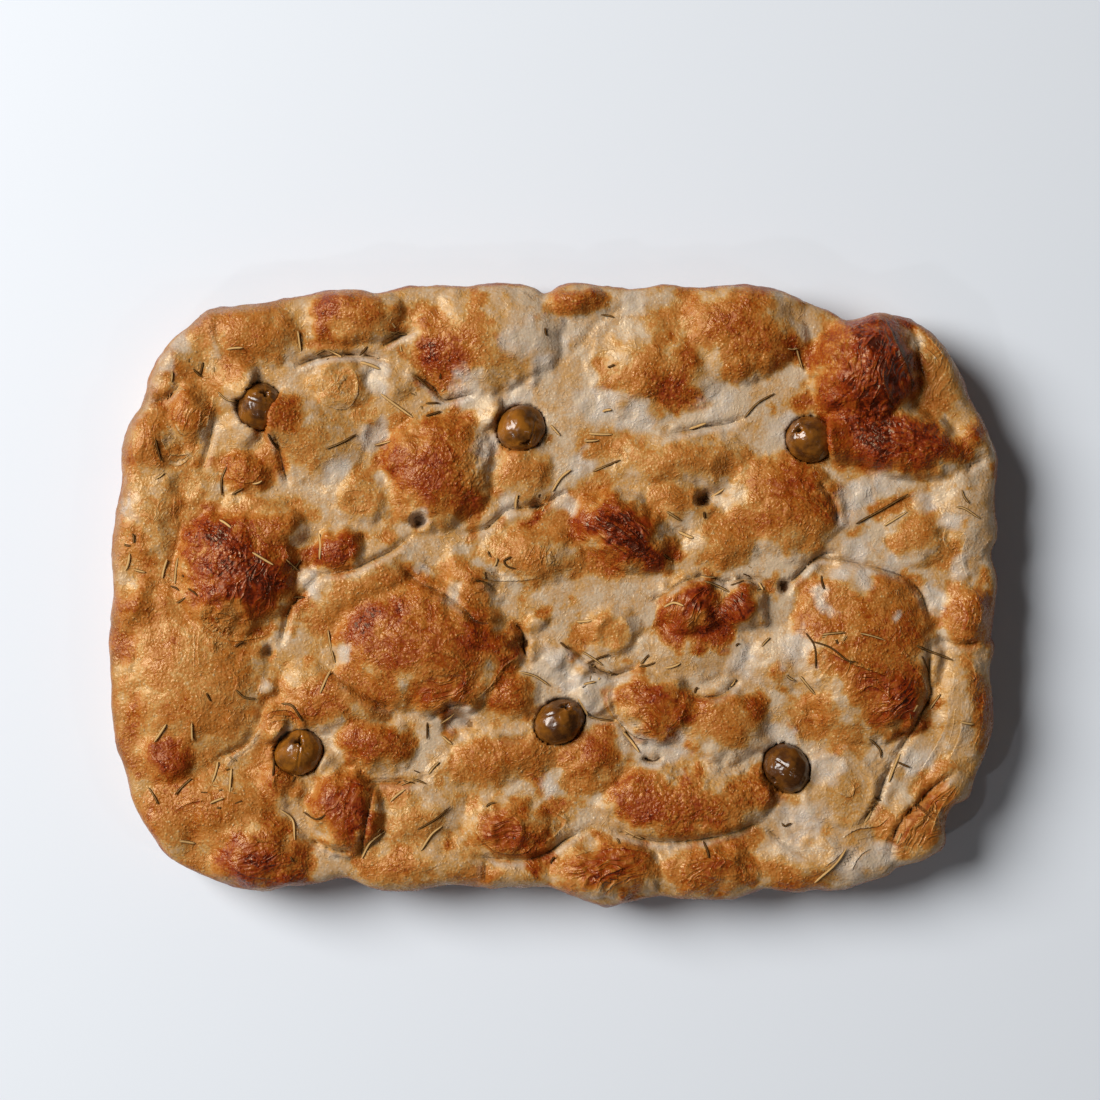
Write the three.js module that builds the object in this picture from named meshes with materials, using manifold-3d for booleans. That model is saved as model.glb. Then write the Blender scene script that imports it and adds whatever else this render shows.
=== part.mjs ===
// Olive focaccia: a pan-baked slab of bubbly dough, with six whole pitted olives pressed into
// finger dimples and rosemary needles baked onto the crust. Millimetres, +Z up; the origin is the
// centre of the flat underside. +X is the long side's right, +Y the far side, as seen from above.
import * as THREE from 'three';
import { mergeVertices } from 'three/addons/utils/BufferGeometryUtils.js';
import Module from 'manifold-3d';

const wasm = await Module();
wasm.setup();

// Driving dimensions of the loaf
const LOAF_LENGTH = 330;
const LOAF_WIDTH = 232;
const DOUGH_LEVEL = 27;        // height of the crust in the valleys between the bubbles
const WIDEST_HEIGHT = 15;      // height at which the side bulges out furthest
const FOOT_INSET = 7;          // how far the underside lies inside that widest line
const SHOULDER_RUN = 8;        // width of the rounded shoulder between side and top
const CRISPNESS = 0.65;        // 1 gives the shoulder a round section, lower a squarer one
const CRUST_MIN = 12;          // the dough left under the deepest pit
const MERGE = 2.2;             // how softly one bubble runs into the next
const BUBBLE_FULLNESS = 0.85;  // 0.5 would be a half ellipsoid, 1 a flatter cushion

// Driving dimensions of the toppings
const OLIVE_RADIUS = 8.6;
const OLIVE_SINK = 0.8;        // how far an olive's centre sits below the dough level
const OLIVE_GAP = 0.3;
const PIT_RADIUS = 1.5;        // the hole that the olive's stone was pushed out of
const PIT_DEPTH = 4;
const DIMPLE_DEPTH = 3;
const DIMPLE_REACH = 11.5;
const NEEDLE_WIDTH = 1.3;
const NEEDLE_HEIGHT = 1.5;
const NEEDLE_PROUD = 0.25;     // how far a needle's middle line stands above the crust

// Mesh density
const GRID_ALONG = 56;
const GRID_ACROSS = 38;
const CORE_INSET = 35;         // the square grid stops this far inside the rim
const CORE_CORNER = 42;
const BAND_ROWS = 3;
const SHOULDER_ROWS = 4;
const FOOT_ROWS = 3;
const RIM_SAMPLES = 900;

// The rim seen from above, anticlockwise, at its widest height
const RIM_EAST = [
  [164.4, 4.8], [162.2, 15], [164.6, 21.6], [163.4, 34], [164.5, 50], [160.5, 61.5], [153.5, 74.5], [149.8, 84],
];
const RIM_NORTH = [
  [143.5, 94], [133, 101.5], [121, 104.6], [109.5, 102.2], [103, 105.2], [93, 109.2], [81, 113.6], [67, 115.1],
  [53, 114.4], [41, 115.5], [30.5, 114], [20, 114.6], [11, 116], [3, 115.2], [-3, 112.3], [-8, 114.6], [-17, 115.6],
  [-33, 114.8], [-51, 114.8], [-65, 112.6], [-72, 113.7], [-84, 112.7], [-99, 110.1], [-115, 107.6],
];
const RIM_WEST = [
  [-127.5, 106], [-134, 101], [-143, 93.5], [-149.5, 81.5], [-152, 72.5], [-158, 63], [-160.8, 51.5], [-160.2, 40.5],
  [-162.8, 29], [-164.3, 11], [-163.8, 0], [-165, -22], [-164.2, -44], [-162, -57], [-158.5, -67], [-156.5, -77],
  [-152, -85.5],
];
const RIM_SOUTH = [
  [-147.5, -91.5], [-141.5, -98.6], [-132, -103.6], [-121, -107.7], [-109, -110.4], [-98, -108.2], [-86, -107.2],
  [-77.5, -105.2], [-67, -109.3], [-54, -110.3], [-41, -108.1], [-27.5, -108.3], [-22.5, -109.6], [-14, -108.7],
  [-2, -108.8], [8, -112.5], [19.5, -115.6], [30, -113.9], [38, -112], [51, -113.5], [66, -112.8], [77.5, -109.7],
  [89, -110.8], [97, -109.6], [105, -110], [114, -107.5], [123.5, -104.6], [127, -101.5], [137, -98.8], [144.5, -93],
];
const RIM_SOUTH_EAST = [
  [145, -85.5], [148, -78.5], [153.5, -75], [157.2, -66], [161.5, -54.5], [163, -41], [162, -29], [163.2, -20],
  [162, -14],
];

// Bubbles in the dough: centre x and y, half-length, half-width, turn in degrees, rise
const NORTH_BUBBLES = [
  [-113, 96, 21, 13, -8, 4.9], [-72, 103, 19, 11, 3, 5.6], [-24, 94, 28, 20, 5, 6.3], [9, 109, 12, 7, 0, 4.9],
  [38, 84, 26, 20, 10, 5.2], [70, 98, 23, 20, -5, 7], [115, 82, 24, 20, 80, 15.5], [128, 56, 25, 14, -12, 9.1],
  [141, 84, 12, 17, 25, 3.5], [154, 57, 8, 8, 0, 4.2],
];
const WEST_BUBBLES = [
  [-134, 66, 9, 12, 10, 4.9], [-149, 57, 10, 14, 0, 4.2], [-142, 86, 12, 12, 0, 2.8], [-79, 78, 11, 10, 0, 3.5],
  [-90, 56, 19, 15, -20, 4.2], [-58, 78, 9, 6, 0, 2.4], [-113, 46, 9, 8, 0, 4.2], [-110, 33, 12, 7, 0, 2.4],
  [-117, 8, 23, 24, 0, 9.8], [-102, 24, 11, 9, -20, 6.6], [-79, 17, 10, 9, -10, 6.3], [-70, 36, 12, 9, -15, 2.8],
  [-43, 45, 20, 23, -15, 7.7], [-12, 45, 12, 11, 0, 3.5], [-148, 30, 11, 20, 0, 2.8], [-153, -5, 9, 11, 0, 4.2],
  [-141, -4, 8, 9, 0, 2.8], [-133, -32, 27, 30, 0, 6.3],
];
const MIDDLE_BUBBLES = [
  [-47, -19, 34, 25, -3, 9.8], [-70, 5, 24, 14, 20, 4.9], [-30, 4, 16, 8, -55, 4.5], [-8, 14, 19, 11, -5, 4.5],
  [25, 23, 22, 13, -32, 8.4], [47, 50, 26, 11, 5, 4.9], [44, 33, 14, 9, 0, 3.1], [86, 33, 22, 19, -20, 5.9],
  [62, 19, 15, 11, 0, 3.5], [22, -13, 10, 9, 0, 3.1], [51, -4, 12, 12, 0, 7], [69, -4, 10, 9, 0, 6.3],
  [52, -20, 20, 11, 0, 2.8], [-80, -38, 21, 14, -5, 5.6], [-40, -36, 14, 10, 0, 7], [-65, -55, 16, 10, -5, 5.2],
  [-15, -36, 11, 9, -30, 4.2], [38, -41, 18, 13, -20, 6.3], [63, -48, 18, 14, 0, 5.6], [-2, -24, 9, 8, 0, 2.1],
  [15, -36, 8, 7, 0, 2.1],
];
const EAST_BUBBLES = [
  [136, 22, 14, 11, 0, 3.5], [151, 30, 11, 24, 0, 3.5], [152, -8, 10, 14, 0, 4.9], [150, -40, 10, 22, 0, 4.2],
  [114, -22, 28, 33, 10, 8.4], [126, -38, 13, 13, 0, 8.8], [85, -24, 12, 13, 0, 3.5], [104, -74, 20, 18, 0, 3.5],
];
const SOUTH_BUBBLES = [
  [-141, -61, 12, 9, 0, 4.9], [-122, -78, 25, 15, -5, 4.5], [-108, -95, 18, 15, 0, 6.3], [-142, -84, 12, 13, 0, 2.8],
  [-99, -47, 9, 8, 0, 3.5], [-101, -68, 8, 10, 0, 3.8], [-77, -80, 13, 18, 5, 7.3], [-50, -82, 18, 14, 20, 3.8],
  [-20, -60, 27, 10, 12, 3.8], [-16, -86, 18, 12, -5, 5.6], [-47, -99, 26, 10, 0, 3.8], [19, -102, 21, 12, 0, 6.3],
  [-14, -103, 15, 7, 0, 3.1], [15, -60, 13, 12, 0, 3.8], [50, -77, 33, 15, 3, 6.6], [57, -101, 20, 10, 0, 4.9],
  [100, -98, 24, 10, 0, 3.5], [134, -87, 14, 13, 0, 3.8], [146, -70, 9, 11, 0, 3.5],
];

// Creases where bubbles meet: depth, half-width, then the points of the line
const CREASES = [
  [4, 3, [-97, 83], [-88, 87], [-78, 88.5], [-66, 88]],
  [3, 2.6, [-64, 91], [-57, 95], [-50, 98]],
  [4, 2.6, [-53, 82], [-45, 77], [-40, 72], [-30, 73.5], [-18, 74], [-9, 79], [1, 84]],
  [3, 2.6, [-104, 61], [-101, 52], [-99, 45], [-96, 39]],
  [3.5, 2.6, [-149, 71], [-142, 73], [-137, 78]],
  [3, 2.6, [38, 59.5], [50, 60.5], [64, 63], [73, 66]],
  [4, 2.8, [-102, -20], [-98, -7], [-92, 3], [-84, 9], [-74, 10], [-62, 16], [-50, 24]],
  [3.5, 2.6, [-38, 22], [-24, 25], [-15, 31], [-4, 33], [9, 38]],
  [4, 2.6, [-57, 11], [-50, 5], [-40, 0], [-28, -9.5], [-17, -10.5], [-11, -16], [-10, -25]],
  [4, 2.8, [33, -4], [40, 0], [47, 5], [57, 6.5], [70, 6], [84, 3], [91, 8], [97, 14], [110, 12.5]],
  [3.5, 2.6, [110, 12.5], [122, 9], [131, 5], [137, -3], [139, -13]],
  [4, 3, [137, -21], [139, -34], [134, -46], [127, -58], [120, -74], [113, -85]],
  [4, 2.6, [5, -19], [13, -25], [20, -30], [33, -26.5]],
  [4, 2.6, [52, -37], [58, -38], [64, -36], [69, -31]],
  [4.5, 2.6, [32, -60], [37, -61.5], [40, -59.5]],
  [3.5, 2.6, [-51, -46], [-42, -44.5], [-35, -41], [-29, -41.5]],
  [3.5, 2.8, [-124, -60], [-114, -56], [-109, -49], [-107, -42]],
  [3.5, 2.6, [-70, -69], [-55, -69.5], [-46, -67]],
  [4, 2.8, [-66, -68], [-68, -80], [-71, -97]],
  [3.5, 2.6, [-31, -97], [-12, -98], [-2, -95], [8, -89], [20, -85], [30, -89], [45, -91], [62, -89], [77, -83]],
  [4.5, 2.8, [124, -98], [126, -88], [133, -78], [141, -70], [150, -64]],
  [4, 2.6, [9, -38], [14, -44], [24, -46], [32, -57]],
];

// Finger holes and burst bubbles: centre, radius, depth
const HOLES = [
  [-50, 27, 4, 7], [56, 35, 4.5, 7], [-36, -46, 6, 4], [-105, -21, 3.5, 3], [85, 3, 3.5, 4], [-63, 58, 6, 3],
];

// Whole olives: name, centre, long half-axis turn in degrees, stretch, where the pit's hole faces
const OLIVES = [
  ['olive_far_left', -108.5, 69, 65, 1.02, [0.35, 0.6, 0.7]],
  ['olive_far_middle', -11.8, 61.3, 35, 1.06, [0.25, -0.72, 0.62]],
  ['olive_far_right', 94.3, 57, -35, 1.04, [-0.6, 0.45, 0.66]],
  ['olive_near_left', -94, -58, 20, 1.06, [0.1, 0.55, 0.8]],
  ['olive_near_middle', 2.2, -47, 30, 1.14, [0.3, 0.75, 0.6]],
  ['olive_near_right', 86, -64, -55, 1.12, [-0.72, -0.5, 0.5]],
];

// The larger rosemary needles: centre, length, turn in degrees
const NEEDLES = [
  [-94, 93, 7.5, 94], [-120, 72, 8, -32], [-79, 57, 12, 26], [-57, 69.5, 15, -39], [-58, 96, 15, 27],
  [18, 59, 8.5, -2], [76, 70, 12, 38], [51, 62, 8, 22], [4, 41, 11, 45], [-122, 43, 10, 83],
  [-119, 26.5, 8, -40], [-95, 11, 9, 75], [-86, 17, 10, -82], [-143.5, 9, 8, 78], [-139.5, 9, 9, 85],
  [-157, 12, 7, 78], [44, 29, 7, -33], [120, 32, 21, 30], [125, 28, 9, 28], [151, 31, 9, -25],
  [62, 3.5, 9, -20], [40, 0.5, 12, 30], [102, -14, 8, 3], [102, -21, 17, -25], [136, -25, 8, -65],
  [94.5, -21, 10, -75], [93, -33, 8, -45], [135, -42, 9, 55], [119.5, -57, 8, -62], [126, -62, 11, 66],
  [-82.5, -18, 12, -75], [-84, -31, 8.5, 62], [-113, -36.5, 8, -24], [-125, -65, 9, 72], [-119, -67, 8.5, -88],
  [-136, -70, 8, 50], [-88, -80.5, 9, -6], [-46, -81, 15, 36], [-67, -92, 12, 55], [17, -21, 9, 22],
  [36, -24, 8, 30], [28, -52, 12, -52], [15, -44, 13, -28],
];

const toRadians = THREE.MathUtils.degToRad;

// A slow swell, so that no stretch of dough is level
function swell(x, y) {
  return 0.8 * Math.sin(x / 17 + 1.3) * Math.sin(y / 13 + 0.7)
    + 0.5 * Math.sin(x / 8.3 - y / 10.7 + 2.1)
    + 0.4 * Math.sin(x / 6.1 + y / 7.4 + 0.4);
}

function softMax(a, b) {
  const overlap = Math.max(MERGE - Math.abs(a - b), 0) / MERGE;
  return Math.max(a, b) + overlap * overlap * MERGE / 4;
}

function bubbleRise([cx, cy, along, across, turn, rise], x, y) {
  const a = toRadians(turn);
  const u = ((x - cx) * Math.cos(a) + (y - cy) * Math.sin(a)) / along;
  const v = (-(x - cx) * Math.sin(a) + (y - cy) * Math.cos(a)) / across;
  const left = 1 - u * u - v * v;
  return left > 0 ? rise * left ** BUBBLE_FULLNESS : 0;
}

function distanceToLine(points, x, y) {
  let least = Infinity;
  for (let i = 1; i < points.length; i += 1) {
    const [ax, ay] = points[i - 1];
    const dx = points[i][0] - ax;
    const dy = points[i][1] - ay;
    const t = THREE.MathUtils.clamp(((x - ax) * dx + (y - ay) * dy) / (dx * dx + dy * dy), 0, 1);
    least = Math.min(least, Math.hypot(x - ax - t * dx, y - ay - t * dy));
  }
  return least;
}

const bubbles = [...NORTH_BUBBLES, ...WEST_BUBBLES, ...MIDDLE_BUBBLES, ...EAST_BUBBLES, ...SOUTH_BUBBLES];

// Height of the crust's top above the underside, before the shoulder rounds it down
function crustHeight(x, y) {
  let rise = 0;
  for (const bubble of bubbles) rise = softMax(rise, bubbleRise(bubble, x, y));
  let height = DOUGH_LEVEL + rise + swell(x, y);
  for (const [depth, halfWidth, ...line] of CREASES) {
    height -= depth * Math.exp(-((distanceToLine(line, x, y) / halfWidth) ** 2));
  }
  for (const [cx, cy, radius, depth] of HOLES) {
    height -= depth * Math.exp(-((Math.hypot(x - cx, y - cy) / radius) ** 2));
  }
  for (const [, cx, cy] of OLIVES) {
    height -= DIMPLE_DEPTH * Math.exp(-((Math.hypot(x - cx, y - cy) / DIMPLE_REACH) ** 2));
  }
  return Math.max(height, CRUST_MIN);
}

// The rim as a closed smooth line, fitted to the loaf's length and width about the origin
function rimLine() {
  const points = [...RIM_EAST, ...RIM_NORTH, ...RIM_WEST, ...RIM_SOUTH, ...RIM_SOUTH_EAST];
  const curve = new THREE.CatmullRomCurve3(points.map(([x, y]) => new THREE.Vector3(x, y, 0)), true, 'centripetal');
  const line = curve.getSpacedPoints(RIM_SAMPLES);
  const box = new THREE.Box3().setFromPoints(line);
  const centre = box.getCenter(new THREE.Vector3());
  const size = box.getSize(new THREE.Vector3());
  return line.map((p) => [
    (p.x - centre.x) * LOAF_LENGTH / size.x,
    (p.y - centre.y) * LOAF_WIDTH / size.y,
  ]);
}

// Distance from an inner point along a direction to the rim
function distanceToRim(rim, [x, y], [nx, ny]) {
  let found = Infinity;
  for (let i = 1; i < rim.length; i += 1) {
    const ax = rim[i - 1][0] - x;
    const ay = rim[i - 1][1] - y;
    const bx = rim[i][0] - x;
    const by = rim[i][1] - y;
    const sideA = nx * ay - ny * ax;
    const sideB = nx * by - ny * bx;
    if (sideA > 0 === sideB > 0) continue;
    const t = sideA / (sideA - sideB);
    const along = nx * (ax + t * (bx - ax)) + ny * (ay + t * (by - ay));
    if (along > 0) found = Math.min(found, along);
  }
  return found;
}

// Point and outward direction at a share of the way round a rounded rectangle, from its right side's middle
function roundedRectangle(halfX, halfY, corner, share) {
  const straightX = halfX - corner;
  const straightY = halfY - corner;
  const arc = corner * Math.PI / 2;
  let left = share * (4 * straightX + 4 * straightY + 4 * arc);
  const steps = [
    [straightY, [halfX, 0], [0, 1]], [arc, [straightX, straightY], 0],
    [2 * straightX, [straightX, halfY], [-1, 0]], [arc, [-straightX, straightY], Math.PI / 2],
    [2 * straightY, [-halfX, straightY], [0, -1]], [arc, [-straightX, -straightY], Math.PI],
    [2 * straightX, [-straightX, -halfY], [1, 0]], [arc, [straightX, -straightY], Math.PI * 1.5],
    [straightY, [halfX, -straightY], [0, 1]],
  ];
  for (const [length, [x, y], way] of steps) {
    if (left <= length + 1e-9) {
      if (Array.isArray(way)) return { at: [x + way[0] * left, y + way[1] * left], out: [way[1], -way[0]] };
      const angle = way + left / Math.max(corner, 1e-9);
      const out = [Math.cos(angle), Math.sin(angle)];
      return { at: [x + corner * out[0], y + corner * out[1]], out };
    }
    left -= length;
  }
  return { at: [halfX, 0], out: [1, 0] };
}

// Share of the way round for a place on the edge of the unit square, by the grid's own cell counts
function shareOfSquare(u, v) {
  const nx = GRID_ALONG;
  const ny = GRID_ACROSS;
  const round = 2 * (nx + ny);
  if (u >= 1 && v >= 0) return v * ny / 2 / round;
  if (v >= 1) return (ny / 2 + (1 - u) / 2 * nx) / round;
  if (u <= -1) return (ny / 2 + nx + (1 - v) / 2 * ny) / round;
  if (v <= -1) return (ny * 1.5 + nx + (1 + u) / 2 * nx) / round;
  return (ny * 1.5 + 2 * nx + (1 + v) / 2 * ny) / round;
}

// Place on the crust for a cell corner of the square grid
function corePlace(u, v) {
  const level = Math.max(Math.abs(u), Math.abs(v));
  if (level < 1e-9) return [0, 0];
  const halfX = (LOAF_LENGTH / 2 - CORE_INSET) * level;
  const halfY = (LOAF_WIDTH / 2 - CORE_INSET) * level;
  return roundedRectangle(halfX, halfY, CORE_CORNER * level ** 3, shareOfSquare(u / level, v / level)).at;
}

// The slab: a square grid in the middle, a band of rings out to the rim, the side, and a flat underside
function slabGeometry() {
  const rim = rimLine();
  const positions = [];
  const index = [];
  const add = (x, y, z) => positions.push(x, y, z) / 3 - 1;
  const grid = [];
  for (let i = 0; i <= GRID_ALONG; i += 1) {
    grid.push([]);
    for (let j = 0; j <= GRID_ACROSS; j += 1) {
      const [x, y] = corePlace(2 * i / GRID_ALONG - 1, 2 * j / GRID_ACROSS - 1);
      grid[i].push(add(x, y, crustHeight(x, y)));
    }
  }
  for (let i = 0; i < GRID_ALONG; i += 1) {
    for (let j = 0; j < GRID_ACROSS; j += 1) {
      const corners = [grid[i][j], grid[i + 1][j], grid[i + 1][j + 1], grid[i][j + 1]];
      index.push(corners[0], corners[1], corners[2], corners[0], corners[2], corners[3]);
    }
  }
  const edge = [];
  for (let j = GRID_ACROSS / 2; j < GRID_ACROSS; j += 1) edge.push([GRID_ALONG, j]);
  for (let i = GRID_ALONG; i > 0; i -= 1) edge.push([i, GRID_ACROSS]);
  for (let j = GRID_ACROSS; j > 0; j -= 1) edge.push([0, j]);
  for (let i = 0; i < GRID_ALONG; i += 1) edge.push([i, 0]);
  for (let j = 0; j < GRID_ACROSS / 2; j += 1) edge.push([GRID_ALONG, j]);
  const stations = edge.map(([i, j]) => {
    const u = 2 * i / GRID_ALONG - 1;
    const v = 2 * j / GRID_ACROSS - 1;
    const halfX = LOAF_LENGTH / 2 - CORE_INSET;
    const halfY = LOAF_WIDTH / 2 - CORE_INSET;
    const { at, out } = roundedRectangle(halfX, halfY, CORE_CORNER, shareOfSquare(u, v));
    return { at, out, reach: distanceToRim(rim, at, out) };
  });
  const place = ({ at, out, reach }, inset) => [
    at[0] + out[0] * (reach - inset), at[1] + out[1] * (reach - inset),
  ];
  const rings = [edge.map(([i, j]) => grid[i][j])];
  for (let k = 1; k <= BAND_ROWS; k += 1) {
    rings.push(stations.map((station) => {
      const [x, y] = place(station, THREE.MathUtils.lerp(station.reach, SHOULDER_RUN, k / BAND_ROWS));
      return add(x, y, crustHeight(x, y));
    }));
  }
  for (let k = 1; k <= SHOULDER_ROWS; k += 1) {
    const lift = Math.PI / 2 * (1 - k / SHOULDER_ROWS);
    rings.push(stations.map((station) => {
      const [x, y] = place(station, SHOULDER_RUN * (1 - Math.cos(lift) ** CRISPNESS));
      return add(x, y, WIDEST_HEIGHT + (crustHeight(x, y) - WIDEST_HEIGHT) * Math.sin(lift) ** CRISPNESS);
    }));
  }
  for (let k = 1; k <= FOOT_ROWS; k += 1) {
    const drop = Math.PI / 2 * k / FOOT_ROWS;
    rings.push(stations.map((station) => {
      const [x, y] = place(station, FOOT_INSET * (1 - Math.cos(drop)));
      return add(x, y, k === FOOT_ROWS ? 0 : WIDEST_HEIGHT * (1 - Math.sin(drop)));
    }));
  }
  const round = edge.length;
  for (let k = 1; k < rings.length; k += 1) {
    for (let i = 0; i < round; i += 1) {
      const next = (i + 1) % round;
      const [a, b, c, d] = [rings[k - 1][i], rings[k][i], rings[k][next], rings[k - 1][next]];
      index.push(a, b, c, a, c, d);
    }
  }
  const underside = add(0, 0, 0);
  const foot = rings[rings.length - 1];
  for (let i = 0; i < round; i += 1) index.push(foot[(i + 1) % round], foot[i], underside);
  const geometry = new THREE.BufferGeometry();
  geometry.setAttribute('position', new THREE.Float32BufferAttribute(positions, 3));
  geometry.setIndex(index);
  return geometry;
}

function toSolid(geometry) {
  const bare = geometry.clone();
  bare.deleteAttribute('normal');
  bare.deleteAttribute('uv');
  const merged = mergeVertices(bare, 1e-4);
  return new wasm.Manifold(new wasm.Mesh({
    numProp: 3,
    vertProperties: new Float32Array(merged.attributes.position.array),
    triVerts: new Uint32Array(merged.index.array),
  }));
}

function toGeometry(solid) {
  const { numProp, numVert, vertProperties, triVerts } = solid.getMesh();
  const positions = new Float32Array(numVert * 3);
  for (let i = 0; i < numVert; i += 1) {
    positions.set(vertProperties.subarray(i * numProp, i * numProp + 3), i * 3);
  }
  const geometry = new THREE.BufferGeometry();
  geometry.setAttribute('position', new THREE.BufferAttribute(positions, 3));
  geometry.setIndex(new THREE.BufferAttribute(new Uint32Array(triVerts), 1));
  geometry.computeVertexNormals();
  return geometry;
}

// An olive's plump oval body, larger by a gap where it cuts its own pocket in the dough
function oliveBody([, cx, cy, turn, stretch], gap, sides) {
  const body = new THREE.SphereGeometry(1, sides, Math.round(sides / 2));
  body.rotateX(Math.PI / 2);
  body.scale(OLIVE_RADIUS * stretch + gap, OLIVE_RADIUS / Math.sqrt(stretch) + gap, OLIVE_RADIUS * 0.95 + gap);
  body.rotateZ(toRadians(turn));
  body.translate(cx, cy, DOUGH_LEVEL - OLIVE_SINK);
  return body;
}

// The hole left by the stone, a short tapered plug set into the olive's skin
function pitHole([, cx, cy, , , facing]) {
  const way = new THREE.Vector3(...facing).normalize();
  const plug = new THREE.CylinderGeometry(PIT_RADIUS * 1.3, PIT_RADIUS * 0.6, PIT_DEPTH * 2, 8);
  plug.applyQuaternion(new THREE.Quaternion().setFromUnitVectors(new THREE.Vector3(0, 1, 0), way));
  const out = way.multiplyScalar(OLIVE_RADIUS * 1.02);
  plug.translate(cx + out.x, cy + out.y, DOUGH_LEVEL - OLIVE_SINK + out.z);
  return plug;
}

function oliveSolid(olive) {
  return toSolid(oliveBody(olive, 0, 18)).subtract(toSolid(pitHole(olive)));
}

// A rosemary needle: a slim four-sided spindle that lies along the slope of the crust
function needleGeometry([x, y, length, turn]) {
  const way = [Math.cos(toRadians(turn)), Math.sin(toRadians(turn))];
  const heightAt = (t) => crustHeight(x + way[0] * t, y + way[1] * t);
  const pitch = Math.atan2(heightAt(length / 2.5) - heightAt(-length / 2.5), length / 1.25);
  const middle = (heightAt(0) + (heightAt(length / 3) + heightAt(-length / 3)) / 2) / 2;
  const needle = new THREE.CylinderGeometry(NEEDLE_WIDTH / 2, NEEDLE_WIDTH / 2, length, 4);
  needle.rotateZ(-Math.PI / 2);
  needle.scale(1, 1, NEEDLE_HEIGHT / NEEDLE_WIDTH);
  needle.rotateY(-pitch);
  needle.rotateZ(toRadians(turn));
  needle.translate(x, y, middle + NEEDLE_PROUD);
  return needle;
}

// The largest closed piece of a union, without loose scraps or sealed hollows
function largestPiece(solid) {
  return solid.decompose().reduce((best, piece) => (piece.volume() > best.volume() ? piece : best));
}

function breadSolid() {
  const needles = NEEDLES.map((needle) => toSolid(needleGeometry(needle)));
  const covered = needles.reduce((whole, needle) => whole.add(needle), toSolid(slabGeometry()));
  const pocketed = OLIVES.reduce((whole, olive) => whole.subtract(toSolid(oliveBody(olive, OLIVE_GAP, 18))), covered);
  return largestPiece(pocketed);
}

function namedMesh(name, geometry, material) {
  const mesh = new THREE.Mesh(geometry, material);
  mesh.name = name;
  return mesh;
}

const crustMaterial = new THREE.MeshStandardMaterial({ color: 0xb5773c, roughness: 0.6, metalness: 0 });
const oliveMaterial = new THREE.MeshStandardMaterial({ color: 0x6b4a1c, roughness: 0.25, metalness: 0 });

const focaccia = new THREE.Group();
focaccia.add(namedMesh('bread', toGeometry(breadSolid()), crustMaterial));
for (const olive of OLIVES) {
  focaccia.add(namedMesh(olive[0], toGeometry(oliveSolid(olive)), oliveMaterial));
}

export default focaccia;
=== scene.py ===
"""Olive focaccia: the baked looks of a pan bread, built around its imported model.

Lengths in the lists are millimetres in the part's own frame: the origin is the centre of the flat
underside, +X is the long side's right and +Y the far side, as seen from above.
"""

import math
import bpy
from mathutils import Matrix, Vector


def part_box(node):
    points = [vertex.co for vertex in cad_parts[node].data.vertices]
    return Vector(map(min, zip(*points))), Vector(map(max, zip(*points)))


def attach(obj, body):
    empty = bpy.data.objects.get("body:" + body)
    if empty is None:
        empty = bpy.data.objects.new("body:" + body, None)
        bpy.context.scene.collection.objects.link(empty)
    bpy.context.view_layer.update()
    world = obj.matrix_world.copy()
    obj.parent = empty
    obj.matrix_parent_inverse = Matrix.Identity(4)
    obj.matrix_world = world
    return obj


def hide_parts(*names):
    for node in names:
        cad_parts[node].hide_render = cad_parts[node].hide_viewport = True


bl_info = {
    "name": "Olive focaccia",
    "version": (1, 0, 0),
    "blender": (4, 5, 0),
    "location": "3D View > Sidebar > Focaccia",
    "description": "Makes the crust, olives, rosemary and studio of an olive focaccia",
    "category": "Object",
}

import bpy
import numpy as np
from bpy.props import FloatProperty, FloatVectorProperty, IntProperty, PointerProperty
from mathutils import Vector, noise
from mathutils.bvhtree import BVHTree

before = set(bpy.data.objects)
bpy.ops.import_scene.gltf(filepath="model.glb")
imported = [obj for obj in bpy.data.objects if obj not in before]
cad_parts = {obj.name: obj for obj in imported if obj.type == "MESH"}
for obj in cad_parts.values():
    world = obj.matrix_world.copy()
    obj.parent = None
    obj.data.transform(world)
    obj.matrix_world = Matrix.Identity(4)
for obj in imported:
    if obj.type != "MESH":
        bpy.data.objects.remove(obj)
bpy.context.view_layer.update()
MM = 0.001
BODY = "root"

# Driving dimensions of the loaf, as in the solid
BREAD_LOW, BREAD_HIGH = (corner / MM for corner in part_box("bread"))
LOAF_LENGTH = BREAD_HIGH.x - BREAD_LOW.x
LOAF_WIDTH = BREAD_HIGH.y - BREAD_LOW.y
DOUGH_LEVEL = 27.0
WIDEST_HEIGHT = 15.0
FOOT_INSET = 7.0
SHOULDER_RUN = 8.0
CRISPNESS = 0.65
CRUST_MIN = 12.0
MERGE = 2.2
DIMPLE_DEPTH = 0.8
DIMPLE_REACH = 12.0
OLIVE_RADIUS = 8.6
CORE_INSET = 35.0
CORE_CORNER = 42.0

# The rim seen from above, anticlockwise, at its widest height
RIM_EAST = [
    (164.4, 4.8), (162.2, 15), (164.6, 21.6), (163.4, 34), (164.5, 50), (160.5, 61.5), (153.5, 74.5),
    (149.8, 84),
]
RIM_NORTH = [
    (143.5, 94), (133, 101.5), (121, 104.6), (109.5, 102.2), (103, 105.2), (93, 109.2), (81, 113.6),
    (67, 115.1), (53, 114.4), (41, 115.5), (30.5, 114), (20, 114.6), (11, 116), (3, 115.2), (-3, 112.3),
    (-8, 114.6), (-17, 115.6), (-33, 114.8), (-51, 114.8), (-65, 112.6), (-72, 113.7), (-84, 112.7),
    (-99, 110.1), (-115, 107.6),
]
RIM_WEST = [
    (-127.5, 106), (-134, 101), (-143, 93.5), (-149.5, 81.5), (-152, 72.5), (-158, 63), (-160.8, 51.5),
    (-160.2, 40.5), (-162.8, 29), (-164.3, 11), (-163.8, 0), (-165, -22), (-164.2, -44), (-162, -57),
    (-158.5, -67), (-156.5, -77), (-152, -85.5),
]
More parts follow.
